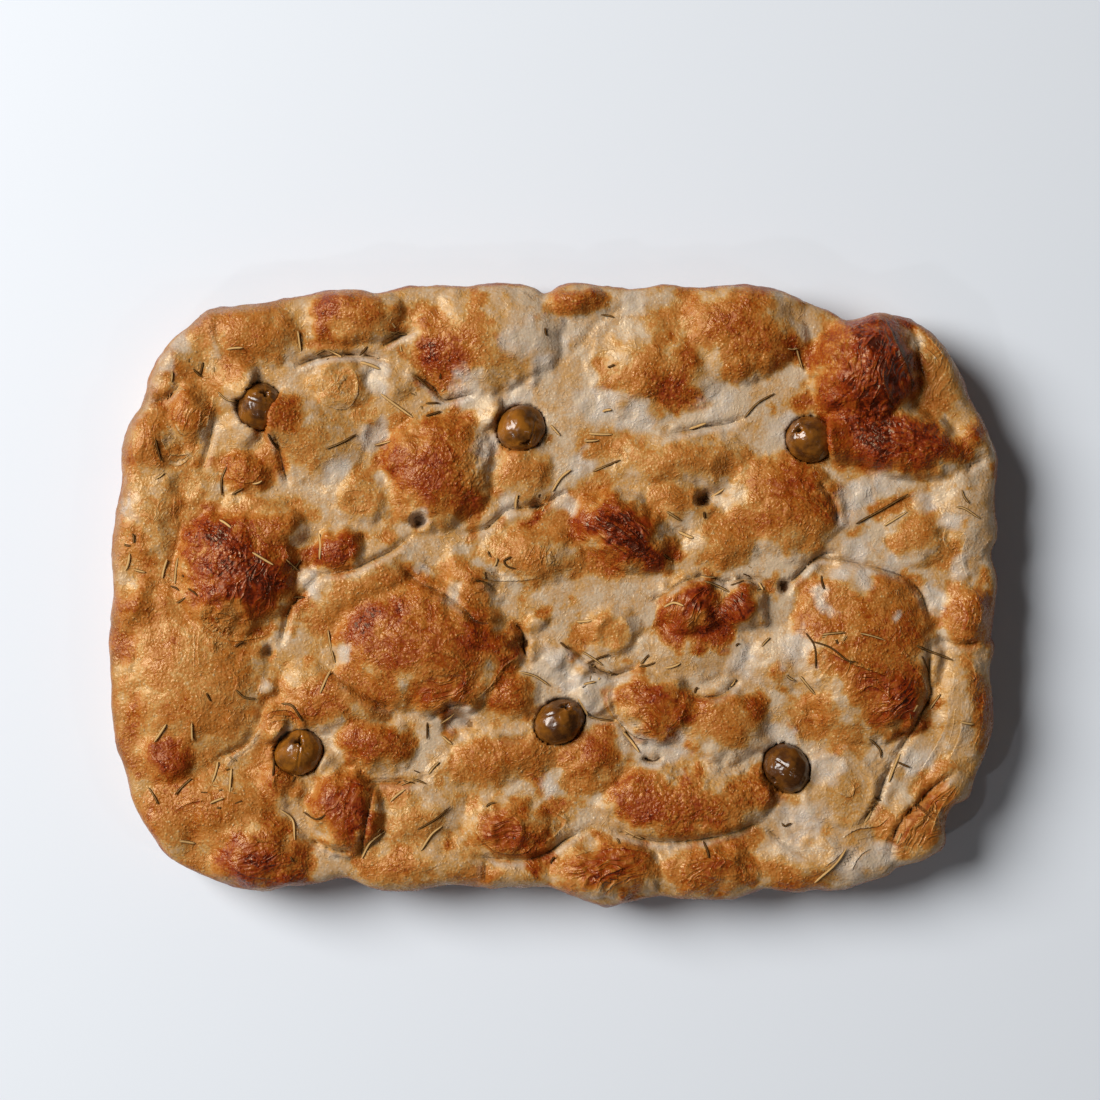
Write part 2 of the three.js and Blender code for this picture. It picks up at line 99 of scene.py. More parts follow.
RIM_SOUTH = [
    (-147.5, -91.5), (-141.5, -98.6), (-132, -103.6), (-121, -107.7), (-109, -110.4), (-98, -108.2),
    (-86, -107.2), (-77.5, -105.2), (-67, -109.3), (-54, -110.3), (-41, -108.1), (-27.5, -108.3),
    (-22.5, -109.6), (-14, -108.7), (-2, -108.8), (8, -112.5), (19.5, -115.6), (30, -113.9), (38, -112),
    (51, -113.5), (66, -112.8), (77.5, -109.7), (89, -110.8), (97, -109.6), (105, -110), (114, -107.5),
    (123.5, -104.6), (127, -101.5), (137, -98.8), (144.5, -93),
]
RIM_SOUTH_EAST = [
    (145, -85.5), (148, -78.5), (153.5, -75), (157.2, -66), (161.5, -54.5), (163, -41), (162, -29),
    (163.2, -20), (162, -14),
]

# Bubbles: centre x and y, half-length, half-width, turn in degrees, rise, fullness (lower is rounder)
BUBBLES = [
    (-113, 96, 21, 13, -8, 4.9, 0.8), (-72, 103, 19, 11, 3, 5.6, 0.75), (-24, 94, 28, 20, 5, 5.4, 0.8),
    (9, 109, 12, 7, 0, 4.9, 0.8), (38, 84, 26, 20, 10, 5.2, 1), (70, 98, 23, 20, -5, 7, 0.8),
    (115, 82, 24, 21, 80, 15.5, 0.95), (128, 56, 25, 14, -12, 9.1, 0.8), (141, 84, 12, 17, 25, 3.5, 0.9),
    (154, 57, 8, 8, 0, 4.2, 0.8),
    (-134, 66, 9, 12, 10, 4.9, 0.7), (-149, 57, 10, 14, 0, 4.2, 0.9), (-142, 86, 12, 12, 0, 2.8, 1),
    (-79, 78, 11, 10, 0, 3.5, 0.65), (-90, 56, 19, 15, -20, 4.2, 1), (-58, 78, 9, 6, 0, 2.4, 0.9),
    (-113, 46, 9, 8, 0, 4.2, 0.8), (-110, 33, 12, 7, 0, 2.4, 0.9), (-117, 8, 23, 24, 0, 9.8, 0.78),
    (-102, 24, 11, 9, -20, 6.6, 0.9), (-79, 17, 10, 9, -10, 6.3, 0.72), (-70, 36, 12, 9, -15, 2.8, 0.8),
    (-43, 45, 20, 23, -15, 7.7, 0.8), (-12, 45, 12, 11, 0, 3.5, 1), (-148, 30, 11, 20, 0, 2.8, 1),
    (-153, -5, 9, 11, 0, 4.2, 0.8), (-141, -4, 8, 9, 0, 2.8, 0.9), (-133, -32, 27, 30, 0, 6.3, 1.0),
    (-47, -19, 34, 25, -3, 9.8, 0.78), (-70, 5, 24, 14, 20, 4.9, 0.9), (-30, 4, 16, 8, -55, 4.5, 0.9),
    (-8, 14, 19, 11, -5, 4.5, 0.85), (25, 23, 22, 13, -32, 8.4, 0.74), (47, 50, 26, 11, 5, 4.9, 0.9),
    (44, 33, 14, 9, 0, 3.1, 0.9), (86, 33, 22, 19, -20, 5.4, 0.9), (62, 19, 15, 11, 0, 3.5, 0.9),
    (22, -13, 10, 9, 0, 3.1, 0.8), (51, -4, 12, 12, 0, 7, 0.74), (69, -4, 10, 9, 0, 6.3, 0.74),
    (52, -20, 20, 11, 0, 2.8, 0.9), (-80, -38, 21, 14, -5, 5.6, 0.85), (-40, -36, 14, 10, 0, 7, 0.78),
    (-65, -55, 16, 10, -5, 5.2, 0.75), (-15, -36, 11, 9, -30, 4.2, 0.85), (38, -41, 18, 13, -20, 6.3, 0.75),
    (63, -48, 18, 14, 0, 5.6, 0.85), (-2, -24, 9, 8, 0, 2.1, 1), (15, -36, 8, 7, 0, 2.1, 1),
    (136, 22, 14, 11, 0, 3.5, 0.9), (151, 30, 11, 24, 0, 3.5, 1), (152, -8, 10, 14, 0, 4.9, 0.85),
    (150, -40, 10, 22, 0, 4.2, 0.9), (114, -22, 28, 33, 10, 8.4, 0.78), (126, -38, 13, 13, 0, 8.8, 0.85),
    (85, -24, 12, 13, 0, 3.5, 0.9), (104, -74, 20, 18, 0, 3.5, 1),
    (-141, -61, 12, 9, 0, 4.9, 0.8), (-122, -78, 25, 15, -5, 4.5, 0.9), (-108, -95, 18, 15, 0, 6.3, 0.82),
    (-142, -84, 12, 13, 0, 2.8, 0.9), (-99, -47, 9, 8, 0, 3.5, 0.75), (-101, -68, 8, 10, 0, 3.8, 0.8),
    (-77, -80, 13, 18, 5, 7.3, 0.7), (-50, -82, 18, 14, 20, 3.8, 1), (-20, -60, 27, 10, 12, 3.8, 0.9),
    (-16, -86, 18, 12, -5, 5.6, 0.85), (-47, -99, 26, 10, 0, 3.8, 0.9), (19, -102, 21, 12, 0, 6.3, 0.74),
    (-14, -103, 15, 7, 0, 3.1, 0.9), (15, -60, 13, 12, 0, 3.8, 0.9), (50, -77, 33, 15, 3, 6.6, 0.78),
    (57, -101, 20, 10, 0, 4.9, 0.75), (100, -98, 24, 10, 0, 3.5, 0.9), (134, -87, 14, 13, 0, 3.8, 0.85),
    (146, -70, 9, 11, 0, 3.5, 0.85),
    (-5, -11, 5, 3.5, 20, 2.4, 0.6), (-9, -20, 4, 4, 0, 2.8, 0.6), (-1, -26, 4.5, 3.5, 0, 2.6, 0.6),
    (10, -29, 4.5, 3.5, 30, 2.8, 0.6), (17, -40, 4.5, 3.5, 0, 2.4, 0.6), (-105, -33, 5, 4, 0, 2.6, 0.6),
]

# Creases where bubbles meet: depth, half-width, darkness of the painted shade along the line, then the points of the
# line
CREASES = [
    (4.5, 1.8, 1, [(-97, 83), (-88, 87), (-78, 88.5), (-68, 88), (-60, 86)]),
    (4, 1.6, 0.8, [(-64, 91), (-57, 95), (-50, 98)]),
    (4.5, 1.6, 0.9, [(-53, 82), (-45, 77), (-40.5, 72), (-34, 73), (-27, 74.5)]),
    (1.4, 2.4, 0.2, [(-27, 74.5), (-18, 74), (-10, 79), (1, 84.5)]),
    (1.2, 2.4, 0.15, [(1, 84.5), (10, 92), (16, 100), (31, 109)]),
    (4, 1.7, 0.8, [(-103, 61), (-101, 53), (-99.5, 46), (-97.5, 39.5)]),
    (3.5, 1.6, 0.7, [(-149, 71), (-142, 73), (-137, 78)]),
    (2, 1.4, 0.5, [(-125, 101), (-123, 93), (-120, 85)]),
    (3.2, 1.6, 0.6, [(39, 59), (50, 60.5), (56, 62), (64, 63), (72, 66)]),
    (3.5, 2, 0.3, [(-101, -20), (-99, -12), (-97, -5), (-88, 5), (-84, 8.5)]),
    (3.5, 1.7, 0.6, [(-92, 12), (-85, 8), (-75, 9), (-68, 12), (-60, 16), (-56, 19), (-50, 24)]),
    (3.8, 1.6, 0.8, [(-57, 11), (-50, 5), (-40, 0), (-33, -5), (-28, -10), (-18, -10.5)]),
    (5, 1.8, 0.8, [(-15, -10), (-11.5, -14), (-11, -20), (-9, -25)]),
    (3.2, 1.8, 0.3, [(-38, 22), (-30, 23), (-24, 25), (-17, 31), (-10, 32), (-4, 33), (3, 37), (10, 38)]),
    (3.2, 1.7, 0.5, [(-50, -45), (-43, -44), (-36, -40.5), (-29, -41)]),
    (3, 1.6, 0.8, [(33, -4), (40, 0), (46, 4), (55, 7), (63, 5), (70, 6), (78, 5), (85, 3)]),
    (3.2, 1.6, 0.9, [(85, 3), (90, 7), (95, 12), (100, 15), (106, 16)]),
    (2.4, 1.5, 0.7, [(97, 14), (110, 12), (122, 9), (130, 6), (135, 1), (137.5, -6), (139, -13)]),
    (3, 1.7, 0.5, [(139, -13), (138, -30), (139, -37), (134, -46), (131, -52), (127, -58), (123, -66)]),
    (4, 1.7, 0.7, [(4, -18), (13, -25), (20, -29.5), (25, -29), (33, -26)]),
    (4, 1.5, 0.8, [(52, -37), (58, -37.5), (63, -36), (69, -30.5)]),
    (5, 1.5, 1, [(32.5, -60), (37, -61.5), (40, -59.5)]),
    (2.0, 1.8, 0.3, [(-124, -60), (-114, -56), (-109, -49), (-107, -42)]),
    (3.5, 1.7, 0.7, [(-70, -69), (-55, -69), (-50, -69), (-46, -67)]),
    (2.6, 1.2, 0.6, [(-66, -69), (-68, -80), (-70, -90), (-71, -98)]),
    (3, 1.7, 0.4, [(-91, -90), (-80, -94), (-73, -95)]),
    (4, 1.6, 0.7, [(19, -85), (28, -88.5), (40, -91), (55, -90), (66, -87.5), (77, -83.5)]),
    (3.5, 1.6, 0.6, [(-32, -96), (-22, -97), (-10, -97.5), (-2, -95), (5, -90), (16, -84.5)]),
    (1.6, 1.0, 0.6, [(-25, -98), (-25.3, -102), (-25.5, -106)]),
    (3.5, 1.8, 0.4, [(113, -85), (119, -76), (122, -68), (125, -60)]),
    (5, 1.8, 0.8, [(123, -99), (125, -90), (128, -83), (135, -76), (141, -70), (150, -63)]),
    (3.5, 1.7, 0.4, [(9, -38), (13, -44), (20, -46), (24, -46), (27, -51), (32, -58)]),
    (2.6, 1.5, 0.4, [(-30, 4.5), (-26, 5), (-22, 2), (-20, -1)]),
    (3, 1.6, 0.6, [(131, 102), (134, 92), (135, 84), (139, 74)]),
    (2.4, 1.5, 0.5, [(97, 42), (101, 37), (104, 31), (104, 24)]),
    (2.6, 1.5, 0.5, [(142, -16), (148, -18), (157, -18)]),
    (2.5, 1.5, 0.4, [(-130, 45), (-127, 55), (-125, 66)]),
    (2.8, 1.5, 0.4, [(-22, -52), (-12, -53), (-8, -50)]),
    (2.5, 1.4, 0.5, [(78, -86), (86, -92), (94, -97)]),
    (3, 1.5, 0.5, [(152, 44), (154, 48), (160, 50)]),
    (2.8, 1.6, 0.4, [(-84, -27), (-78, -31), (-66, -39), (-56, -43)]),
]

# Finger holes and burst bubbles: centre, radius, depth, darkness of the painted shade in the hole
HOLES = [
    (-49.5, 27, 2.6, 7, 0.8), (55.5, 35, 2.8, 7, 1), (-6, 33, 2, 3, 0.5), (-36, -46, 5, 3.5, 0),
    (-105, -21, 2, 3, 0.6), (85, 2.8, 2.2, 4, 1), (-31, -48, 2, 2.5, 0.6), (-63, 58, 5, 2.5, 0),
    (100, 12, 4, 2, 0), (60, 36, 3, 2, 0.1), (-12, -18, 3, 3, 0.7), (144, 22, 3, 1.5, 0),
]

# Ring-shaped blisters whose thin skin has sunk in the middle: centre, radius, height of the ring
RINGS = [
    (-79, 78, 7.5, 0.8), (-70, 36, 7, 0.5), (22, -14, 6.5, 0.9), (105, -72, 13, 0.8), (-17, -88, 5.5, 0.9),
    (-121, -9, 9, 0.8), (-99, -47, 6.5, 1.0), (-136, 40, 6, 0.5), (-150, 22, 6, 0.5), (97, -95, 6, 0.6), (64, 46, 6, 0.5),
]

# Wrinkled skin: centre, half-length, half-width, direction of the wrinkles in degrees, spacing, depth
WRINKLES = [
    (119, 82, 20, 20, 78, 3.4, 0.9), (130, 56, 18, 11, -10, 3, 0.6), (-112, 4, 16, 17, 70, 3.2, 0.7),
    (-121, -8, 9, 9, 30, 3.2, 0.5), (25, 23, 19, 10, -32, 3.2, 0.9), (50, -4, 11, 10, 60, 2.8, 0.8),
    (68, -4, 9, 8, -30, 2.8, 0.7), (126, -39, 12, 12, 40, 3, 0.9), (-40, -36, 12, 8, 20, 2.8, 0.8),
    (19, -102, 17, 10, 15, 3.2, 1.0), (-108, -96, 14, 11, 20, 3.5, 0.6), (-78, -80, 10, 14, 80, 3.5, 0.6),
    (-5, 13, 10, 8, 80, 2.4, 0.6), (-17, -87, 13, 9, 10, 3, 0.6), (141, 84, 10, 15, 65, 3, 0.8),
    (141, -73, 10, 11, 50, 3.4, 0.9), (104, -24, 14, 20, 60, 4, 0.6), (-47, -19, 26, 18, -10, 4.5, 0.5),
    (-133, 66, 9, 11, 80, 3, 0.5), (57, -101, 15, 8, 10, 3, 0.6), (-79, 78, 8, 8, 40, 2.5, 0.5),
    (-104, -88, 9, 7, 0, 2.8, 0.5), (88, 34, 16, 13, -40, 4, 0.5), (38, -41, 14, 10, -20, 3, 0.5),
    (150, -40, 12, 24, 55, 3.2, 0.4), (130, -88, 18, 14, 40, 3.2, 0.8), (154, 10, 10, 22, 40, 3, 0.35),
    (155, 55, 10, 14, 50, 3, 0.4), (98, -98, 20, 10, 10, 3, 0.5), (-45, -100, 24, 8, 5, 3, 0.5),
    (-150, 60, 10, 14, 80, 3, 0.5), (125, -60, 12, 16, 55, 3.2, 0.6), (-12, -62, 22, 9, 15, 3, 0.4),
]

# Thin raised folds of the baked skin: height, then the points of the fold
PLEATS = [
    (0.7, [(-137.7, 71.7), (-139.6, 65.9), (-137.7, 60.1), (-133.3, 57.2)]),
    (0.7, [(-129.2, 69.4), (-129.8, 63.6), (-131, 59)]), (0.8, [(-125, 74), (-126.5, 66), (-128, 58)]),
    (0.8, [(-144.3, 60.1), (-143.1, 54.9), (-140.2, 51.4), (-133.3, 52), (-132.7, 54.9)]),
    (0.6, [(-143.1, 48.6), (-137.9, 47.4), (-133.3, 50.9)]), (0.6, [(-154.1, 60.1), (-154.7, 53.2), (-153, 47.4)]),
    (0.7, [(-81.8, 82.1), (-80, 77.5), (-78.3, 73.4)]), (0.7, [(-76.6, 82.1), (-78.3, 78.6), (-82.4, 76.9)]),
    (0.45, [(-85.2, 83.9), (-87.6, 77.5), (-84.7, 70.5), (-76.6, 68.2), (-71.9, 74), (-73.1, 82.1), (-78.9, 84.6)]),
    (0.45, [(-113.6, 52.6), (-117.7, 50.9), (-119.4, 46.2), (-115.9, 41.6), (-110.1, 41.6), (-107.2, 46.2),
           (-108.4, 51.4)]),
    (0.5, [(-113.6, 49), (-112.4, 43.9)]), (0.35, [(-77.1, 37), (-75.4, 38.1), (-69.6, 38.1), (-66.7, 34.7)]),
    (0.35, [(-76.6, 33.5), (-71.9, 30.6), (-67.3, 31.8)]), (0.9, [(-110.7, 28.9), (-107.8, 21.9), (-103.2, 17.3)]),
    (0.7, [(-98.6, 16.1), (-96.2, 10.4), (-97.4, 4.6)]), (0.5, [(-139.1, 37), (-139.6, 30), (-137.9, 23.1)]),
    (1.0, [(11.4, 31.8), (16.1, 28.9), (23, 25.4), (30, 19.6), (34.6, 15), (38.1, 13.3)]),
    (1.0, [(13.8, 25.4), (18.4, 20.8), (25.3, 16.1), (31.1, 11.5)]),
    (0.8, [(21.9, 32.4), (28.8, 27.7), (34.6, 23.1)]), (0.7, [(16, 34.6), (20, 33.4), (26, 32)]),
    (0.8, [(-5.3, 16), (-4.6, 10.4)]), (0.8, [(-3, 16.3), (-2.4, 10)]), (0.8, [(-1.1, 16), (-0.8, 9.5)]),
    (0.6, [(-30.2, 16.1), (-31.4, 10.4), (-24.4, 5.7), (-11.7, 5.2), (-2.4, 6.9)]),
    (0.6, [(-23.3, 15.6), (-21, 12.7), (-20.4, 10.4)]),
    (1.2, [(121.5, 87.5), (119.6, 79.5), (122.3, 71.6), (127.6, 66.3)]),
    (2.2, [(131, 72), (130, 80), (126.5, 88), (124, 95), (121, 102)]),
    (0.9, [(131.6, 94.1), (135, 89), (138.2, 83.5)]), (0.9, [(136.9, 95.5), (141, 91), (144.8, 86.2)]),
    (0.7, [(108, 96), (106, 88), (107, 80)]), (0.7, [(112, 72), (116, 66), (120, 60)]),
    (0.7, [(85.2, 39.8), (91.8, 35.8), (98.4, 31.8), (103, 26.5)]),
    (0.5, [(144.8, 26.5), (143.5, 19.9), (147.5, 13.2)]), (0.5, [(152, 22), (150, 14), (153, 4)]),
    (0.9, [(-127.5, -3.5), (-124, -9.3), (-121.7, -12.7), (-117.1, -15), (-113.6, -13.9)]),
    (0.8, [(-125.2, -6.9), (-119.4, -6.9), (-115.9, -10.4)]), (0.7, [(-122.9, -10.4), (-118.2, -12.7)]),
    (0.8, [(-129.8, -2.3), (-128.5, -10.4), (-119.4, -16.6), (-110.1, -16.2), (-103.2, -13.9)]),
    (0.3, [(-139.1, -11.6), (-140.2, -18.5), (-139.1, -26.6)]),
    (0.3, [(-134.4, -11.6), (-133.3, -19.7), (-134.4, -26.6)]),
    (0.35, [(-129.8, -12.7), (-130.4, -20.8), (-129.2, -27.8)]), (0.5, [(-125.2, -15), (-124.6, -22)]),
    (0.5, [(-157.6, -17.4), (-155.3, -23.1), (-157, -28.9)]), (0.6, [(-120, -26), (-116, -31), (-117, -36)]),
    (1.0, [(-106.8, -46.3), (-111.4, -54.4), (-117.2, -59), (-121.9, -64.8)]),
    (0.9, [(-109, -47), (-103.2, -42.8), (-96.2, -42.8), (-92.8, -46.3), (-90.8, -50)]),
    (0.7, [(-105.5, -47.3), (-98.6, -46), (-95.1, -49.8)]), (0.8, [(-98.6, -60.2), (-103.2, -69.4), (-99.7, -74.1)]),
    (0.8, [(-73.1, -68.3), (-65.5, -71.8)]), (0.6, [(-140.2, -79.9), (-133.3, -76.4), (-125.2, -75.2)]),
    (0.6, [(-113.6, -91.4), (-105.5, -90.3), (-98.6, -92.6)]), (0.6, [(-120, -98), (-112, -103), (-104, -104)]),
    (1.0, [(-18.6, -12.7), (-13.5, -16.2), (-12.7, -22), (-18.6, -26.6), (-23.3, -33.6), (-30.2, -40)]),
    (0.7, [(-47.6, -23.1), (-40.6, -20.8), (-32.5, -26.6), (-33.7, -34.7), (-40.6, -38.6)]),
    (0.7, [(-19.8, -83.3), (-15.2, -81), (-11.7, -84.5), (-12.9, -89.1), (-17.5, -89.1), (-19.2, -85.6)]),
    (0.8, [(-30.2, -81), (-27.9, -88), (-21, -94.2), (-11.7, -95), (-7.1, -91.4), (-8.2, -85.6)]),
    (0.7, [(-8.2, -74.1), (-0.1, -79.9), (4.5, -83.3), (1, -88), (-5.9, -92.6)]),
    (1.1, [(16.1, -99.5), (17.2, -104.2), (16.1, -108.8)]), (1.1, [(12.5, -106.5), (20.7, -101.9), (28.5, -99)]),
    (1.0, [(17.2, -111.1), (21.9, -106.5), (26, -104.6)]), (0.8, [(8, -97), (12, -103), (10, -108)]),
    (0.8, [(1, -100.7), (6.8, -96.1), (16.1, -93.8), (25.3, -92.8), (34.6, -94.9), (38.1, -99.5), (36.9, -106.5)]),
    (0.9, [(20.7, -33.6), (19.8, -38.2), (21.9, -44), (30, -52.1), (40.4, -53.2)]),
    (0.7, [(30, -40.5), (32.3, -45.1), (38.1, -49.8)]), (0.8, [(48.5, -40.5), (46.2, -46.3), (48.5, -50.9)]),
    (1.1, [(95.8, -17.6), (103, -22), (110.4, -25.6), (118.3, -28.3), (126.3, -32.2)]),
    (0.9, [(110.4, -37.1), (115.7, -33.2), (121, -35.8), (123.6, -41.1), (121, -46.4)]),
    (0.9, [(118.3, -43.8), (126.3, -39.8), (131.6, -34.5)]),
    (0.9, [(126.3, -22.5), (131.6, -26.5), (136.5, -31.8), (137, -38.5), (134.9, -45.1)]),
    (0.5, [(144.8, -21.2), (152.8, -23.9), (155.4, -31.8), (152.8, -39.8)]),
    (0.5, [(143.5, -33.2), (144.8, -43.8), (142.2, -53.1), (136.9, -62.3), (131.6, -72)]),
    (0.4, [(150.1, -43.8), (148.8, -53.1), (144.8, -62.3)]), (0.4, [(157, -40), (157.5, -48), (154, -57)]),
    (1.0, [(147.5, -70.3), (142.2, -74.3), (136.9, -79.6), (131.6, -86.2)]),
    (1.0, [(144.8, -75), (140.9, -80.9), (138.2, -88.9)]), (0.9, [(135.9, -79.6), (131.6, -84.9), (127.6, -92.8)]),
    (0.9, [(105.1, -90.2), (111.7, -86.2), (119.6, -84.9), (124.9, -79.6)]),
    (0.7, [(98.4, -100.8), (105.1, -95.5), (107.7, -92.8)]), (0.7, [(109, -102.1), (113, -95.5), (118.3, -92.8)]),
    (0.7, [(58.6, -98.1), (63.9, -96.8), (69.2, -100.8), (70.6, -107.4)]), (0.6, [(50, -96), (48, -102), (52, -108)]),
    (0.6, [(102.4, -71.6), (109, -74.3), (110.4, -70.3), (106.4, -67.6)]),
    (0.6, [(84, -44), (89, -50), (92, -58)]), (0.6, [(154, 1), (157, -6), (155, -14)]),
    (0.6, [(150, -2), (152, -9), (149, -15)]), (0.6, [(-150, 28), (-152, 20), (-149, 12)]),
]

# Skin covered with tiny round blisters: centre, radius, strength
GRANULAR = [
    (-125, 14, 14, 1), (-112, 14, 14, 0.7), (-42, 54, 12, 0.5), (-30, 44, 12, 0.9), (-47, 44, 11, 0.4),
    (111, 84, 20, 0.8), (120, 62, 14, 0.9), (134, 56, 14, 0.8), (-60, -14, 16, 0.5), (-38, -28, 12, 0.4),
    (40, 78, 10, 0.8), (72, 92, 16, 0.5), (48, -76, 18, 0.8), (70, -72, 12, 0.7), (30, 12, 12, 0.6),
    (90, 34, 14, 0.4), (-105, -96, 14, 0.5), (62, -3, 9, 0.4), (115, -28, 14, 0.4), (-130, -30, 20, 0.3),
    (5, -84, 12, 0.5), (-72, 12, 12, 0.4), (-35, 88, 10, 0.5),
]

# How far the crust has browned: centre x and y, half-length, half-width, turn, level (1 is charred).
# Later patches lie over earlier ones.
BROWNING = [
    (-113, 97, 17, 10, -8, 0.5), (-134, 66, 8, 10, 10, 0.6), (-148, 58, 8, 9, 0, 0.5),
    (-117, 84, 8, 5, 0, 0.5), (-72, 104, 15, 8, 3, 0.55), (-84, 103, 6, 6, 0, 0.78),
    (-79, 78, 9, 8, 0, 0.37), (-38, 88, 13, 14, 0, 0.64), (-45, 90, 5, 6, 0, 0.84),
    (-35, 84, 6, 6, 0, 0.82), (-19, 88, 9, 10, 0, 0.34), (-44, 46, 18, 21, -15, 0.56),
    (-47, 45, 13, 8, 0, 0.76), (-32, 33, 6, 6, 0, 0.74), (-40, 63, 13, 7, 0, 0.6),
    (-13, 46, 9, 8, 0, 0.44), (-90, 56, 14, 10, -20, 0.35), (-98, 65, 7, 7, 0, 0.64),
    (8, 109, 9, 5, 0, 0.62), (37, 80, 13, 11, 0, 0.54), (43, 75, 7, 6, 0, 0.75),
    (43, 102, 10, 6, 0, 0.42), (68, 98, 17, 14, -5, 0.6), (80, 86, 9, 7, 0, 0.54),
    (19, 54, 12, 5, 10, 0.42), (114, 82, 24, 17, 80, 0.84), (121, 86, 5, 13, 10, 0.92),
    (120, 72, 7, 8, 0, 0.92), (126, 60, 7, 6, 0, 0.88), (103, 86, 5, 10, 0, 0.62),
    (131, 55, 19, 9, -12, 0.8), (140, 82, 6, 13, 15, 0.5), (104, 64, 8, 13, 0, 0.72), (112, 56, 13, 10, -20, 0.74),
    (113, 67, 12, 11, 0, 0.82), (119, 60, 8, 8, 0, 0.9), (128, 85, 7, 14, 8, 0.9),
    (145, 84, 7, 12, 25, 0.36), (155, 58, 5, 6, 0, 0.62),
    (-117, 8, 20, 21, 0, 0.83), (-108, 3, 7, 11, 0, 0.92), (-120, 21, 11, 7, 0, 0.87),
    (-121, -9, 9, 7, 0, 0.5), (-103, 25, 8, 6, -20, 0.62), (-113, 46, 9, 8, 0, 0.6),
    (-110, 33, 10, 5, 0, 0.42), (-145, 2, 4, 8, 0, 0.4),
    (-146, 26, 8, 12, 0, 0.3), (-141, -3, 6, 7, 0, 0.5), (-133, -31, 22, 24, 0, 0.36), (-118, -28, 7, 6, 0, 0.5), (-138, -42, 8, 5, 30, 0.52), (-144, -24, 4, 9, 0, 0.5),
    (-159, -19, 4, 6, 0, 0.66), (-156, -48, 5, 9, 0, 0.6), (-155, -5, 6, 5, 0, 0.62), (-151, 15, 4, 9, 0, 0.5), (-80, 17, 8, 7, -10, 0.82),
    (-70, 36, 9, 7, -15, 0.38), (-78, -8, 13, 10, 0, 0.48), (12, 37, 13, 6, 20, 0.5), (5, 24, 8, 7, 0, 0.5),
    (-47, -15, 30, 18, -3, 0.62), (-28, -18, 9, 8, 0, 0.76),
    (-55, -22, 9, 6, 0, 0.72), (-63, -5, 9, 6, 0, 0.82), (-71, -12, 6, 6, 0, 0.8),
    (-71, 2, 15, 7, 20, 0.44), (-52, 6, 8, 6, -40, 0.56), (-31, 7, 11, 4, -55, 0.5),
    (-10, 15, 16, 8, -5, 0.44), (24, 24, 17, 10, -32, 0.86), (30, 18, 13, 3.5, -38, 0.93), (19, 11, 12, 5, -20, 0.62),
    (45, 36, 12, 7, 0, 0.44), (67, 24, 9, 7, 0, 0.48), (63, 14, 9, 5, 0, 0.44),
    (88, 35, 19, 14, -20, 0.58), (87, 39, 8, 6, 0, 0.7), (101, 33, 5, 6, 0, 0.66),
    (46, 50, 20, 7, 5, 0.43), (52, -2, 9, 8, 0, 0.87), (67, -4, 8, 6, 0, 0.87),
    (47, -13, 7, 6, 0, 0.82), (58, -12, 8, 7, 0, 0.84), (53, -9, 3.5, 3.5, 0, 0.5),
    (125, 32, 10, 3.5, 30, 0.52), (136, 24, 9, 8, 0, 0.44), (127, 18, 6, 4, 0, 0.42),
    (142, 12, 8, 4, 0, 0.42), (103, -5, 14, 9, 0, 0.5), (125, -14, 13, 15, 0, 0.6),
    (128, 1, 9, 6, 0, 0.5), (99, -12, 10, 5, 10, 0.62), (101, -24, 12, 8, 0, 0.5),
    (118, -32, 13, 11, 0, 0.62), (127, -39, 10, 10, 0, 0.76), (131, -38, 5, 6, 0, 0.87),
    (97, -45, 10, 8, 0, 0.5), (107, -54, 9, 6, 0, 0.42), (153, -8, 8, 12, 0, 0.58),
    (158, -42, 6, 10, 0, 0.6), (-142, -61, 10, 7, 0, 0.78), (-127, -46, 10, 7, 0, 0.46),
    (-100, -68, 6, 7, 0, 0.6), (-88, -40, 12, 8, -10, 0.6), (-68, -35, 12, 8, -5, 0.58),
    (-40, -35, 11, 7, 0, 0.68), (-68, -55, 11, 7, -5, 0.7), (-56, -57, 6, 5, 0, 0.62),
    (-15, -37, 9, 7, -30, 0.62), (-18, -60, 22, 8, 12, 0.52), (-35, -64, 8, 5, 0, 0.46),
    (-125, -79, 20, 10, -5, 0.52), (-108, -97, 15, 10, 0, 0.82), (-104, -88, 7, 5, 0, 0.58),
    (-77, -79, 10, 14, 5, 0.75), (-71, -82, 3, 8, 5, 0.84), (-60, -73, 9, 5, 20, 0.46),
    (-52, -86, 14, 8, 20, 0.36), (-58, -99, 12, 6, 0, 0.5), (-30, -103, 12, 5, 0, 0.46),
    (-17, -87, 14, 9, -5, 0.72), (-2, -80, 6, 4, 0, 0.6), (19, -101, 17, 9, 0, 0.7),
    (37, -41, 14, 9, -20, 0.65), (38, -36, 6, 4, 0, 0.82), (25, -36, 6, 4, 0, 0.6),
    (48, -44, 6, 6, 0, 0.66), (63, -48, 13, 8, 0, 0.5), (73, -42, 5, 5, 0, 0.7),
    (15, -58, 11, 8, 0, 0.68), (12, -68, 9, 5, 0, 0.5), (10, -17, 7, 4, 0, 0.5),
    (22, -14, 8, 6, 0, 0.42), (30, -71, 13, 6, 0, 0.62), (34, -79, 9, 6, 0, 0.76),
    (52, -79, 15, 9, 3, 0.64), (75, -72, 12, 7, 0, 0.56), (57, -101, 16, 7, 0, 0.6),
    (67, -93, 9, 5, 0, 0.55), (105, -72, 14, 12, 0, 0.28), (141, -75, 8, 9, 0, 0.52),
    (134, -86, 9, 7, 0, 0.5), (90, -106, 9, 5, 0, 0.55), (84, -101, 8, 5, 0, 0.5),
    (-127, 76, 5, 7, 0, 0.42), (-104, -45, 6, 14, 0, 0.44), (-108, -62, 8, 5, 20, 0.46), (125, -86, 6, 8, 30, 0.5),
    (90, -85, 6, 5, 0, 0.42), (137, 68, 5, 4, 0, 0.5), (-38, 10, 6, 5, 0, 0.42), (-90, 29, 6, 4, 0, 0.42),
]

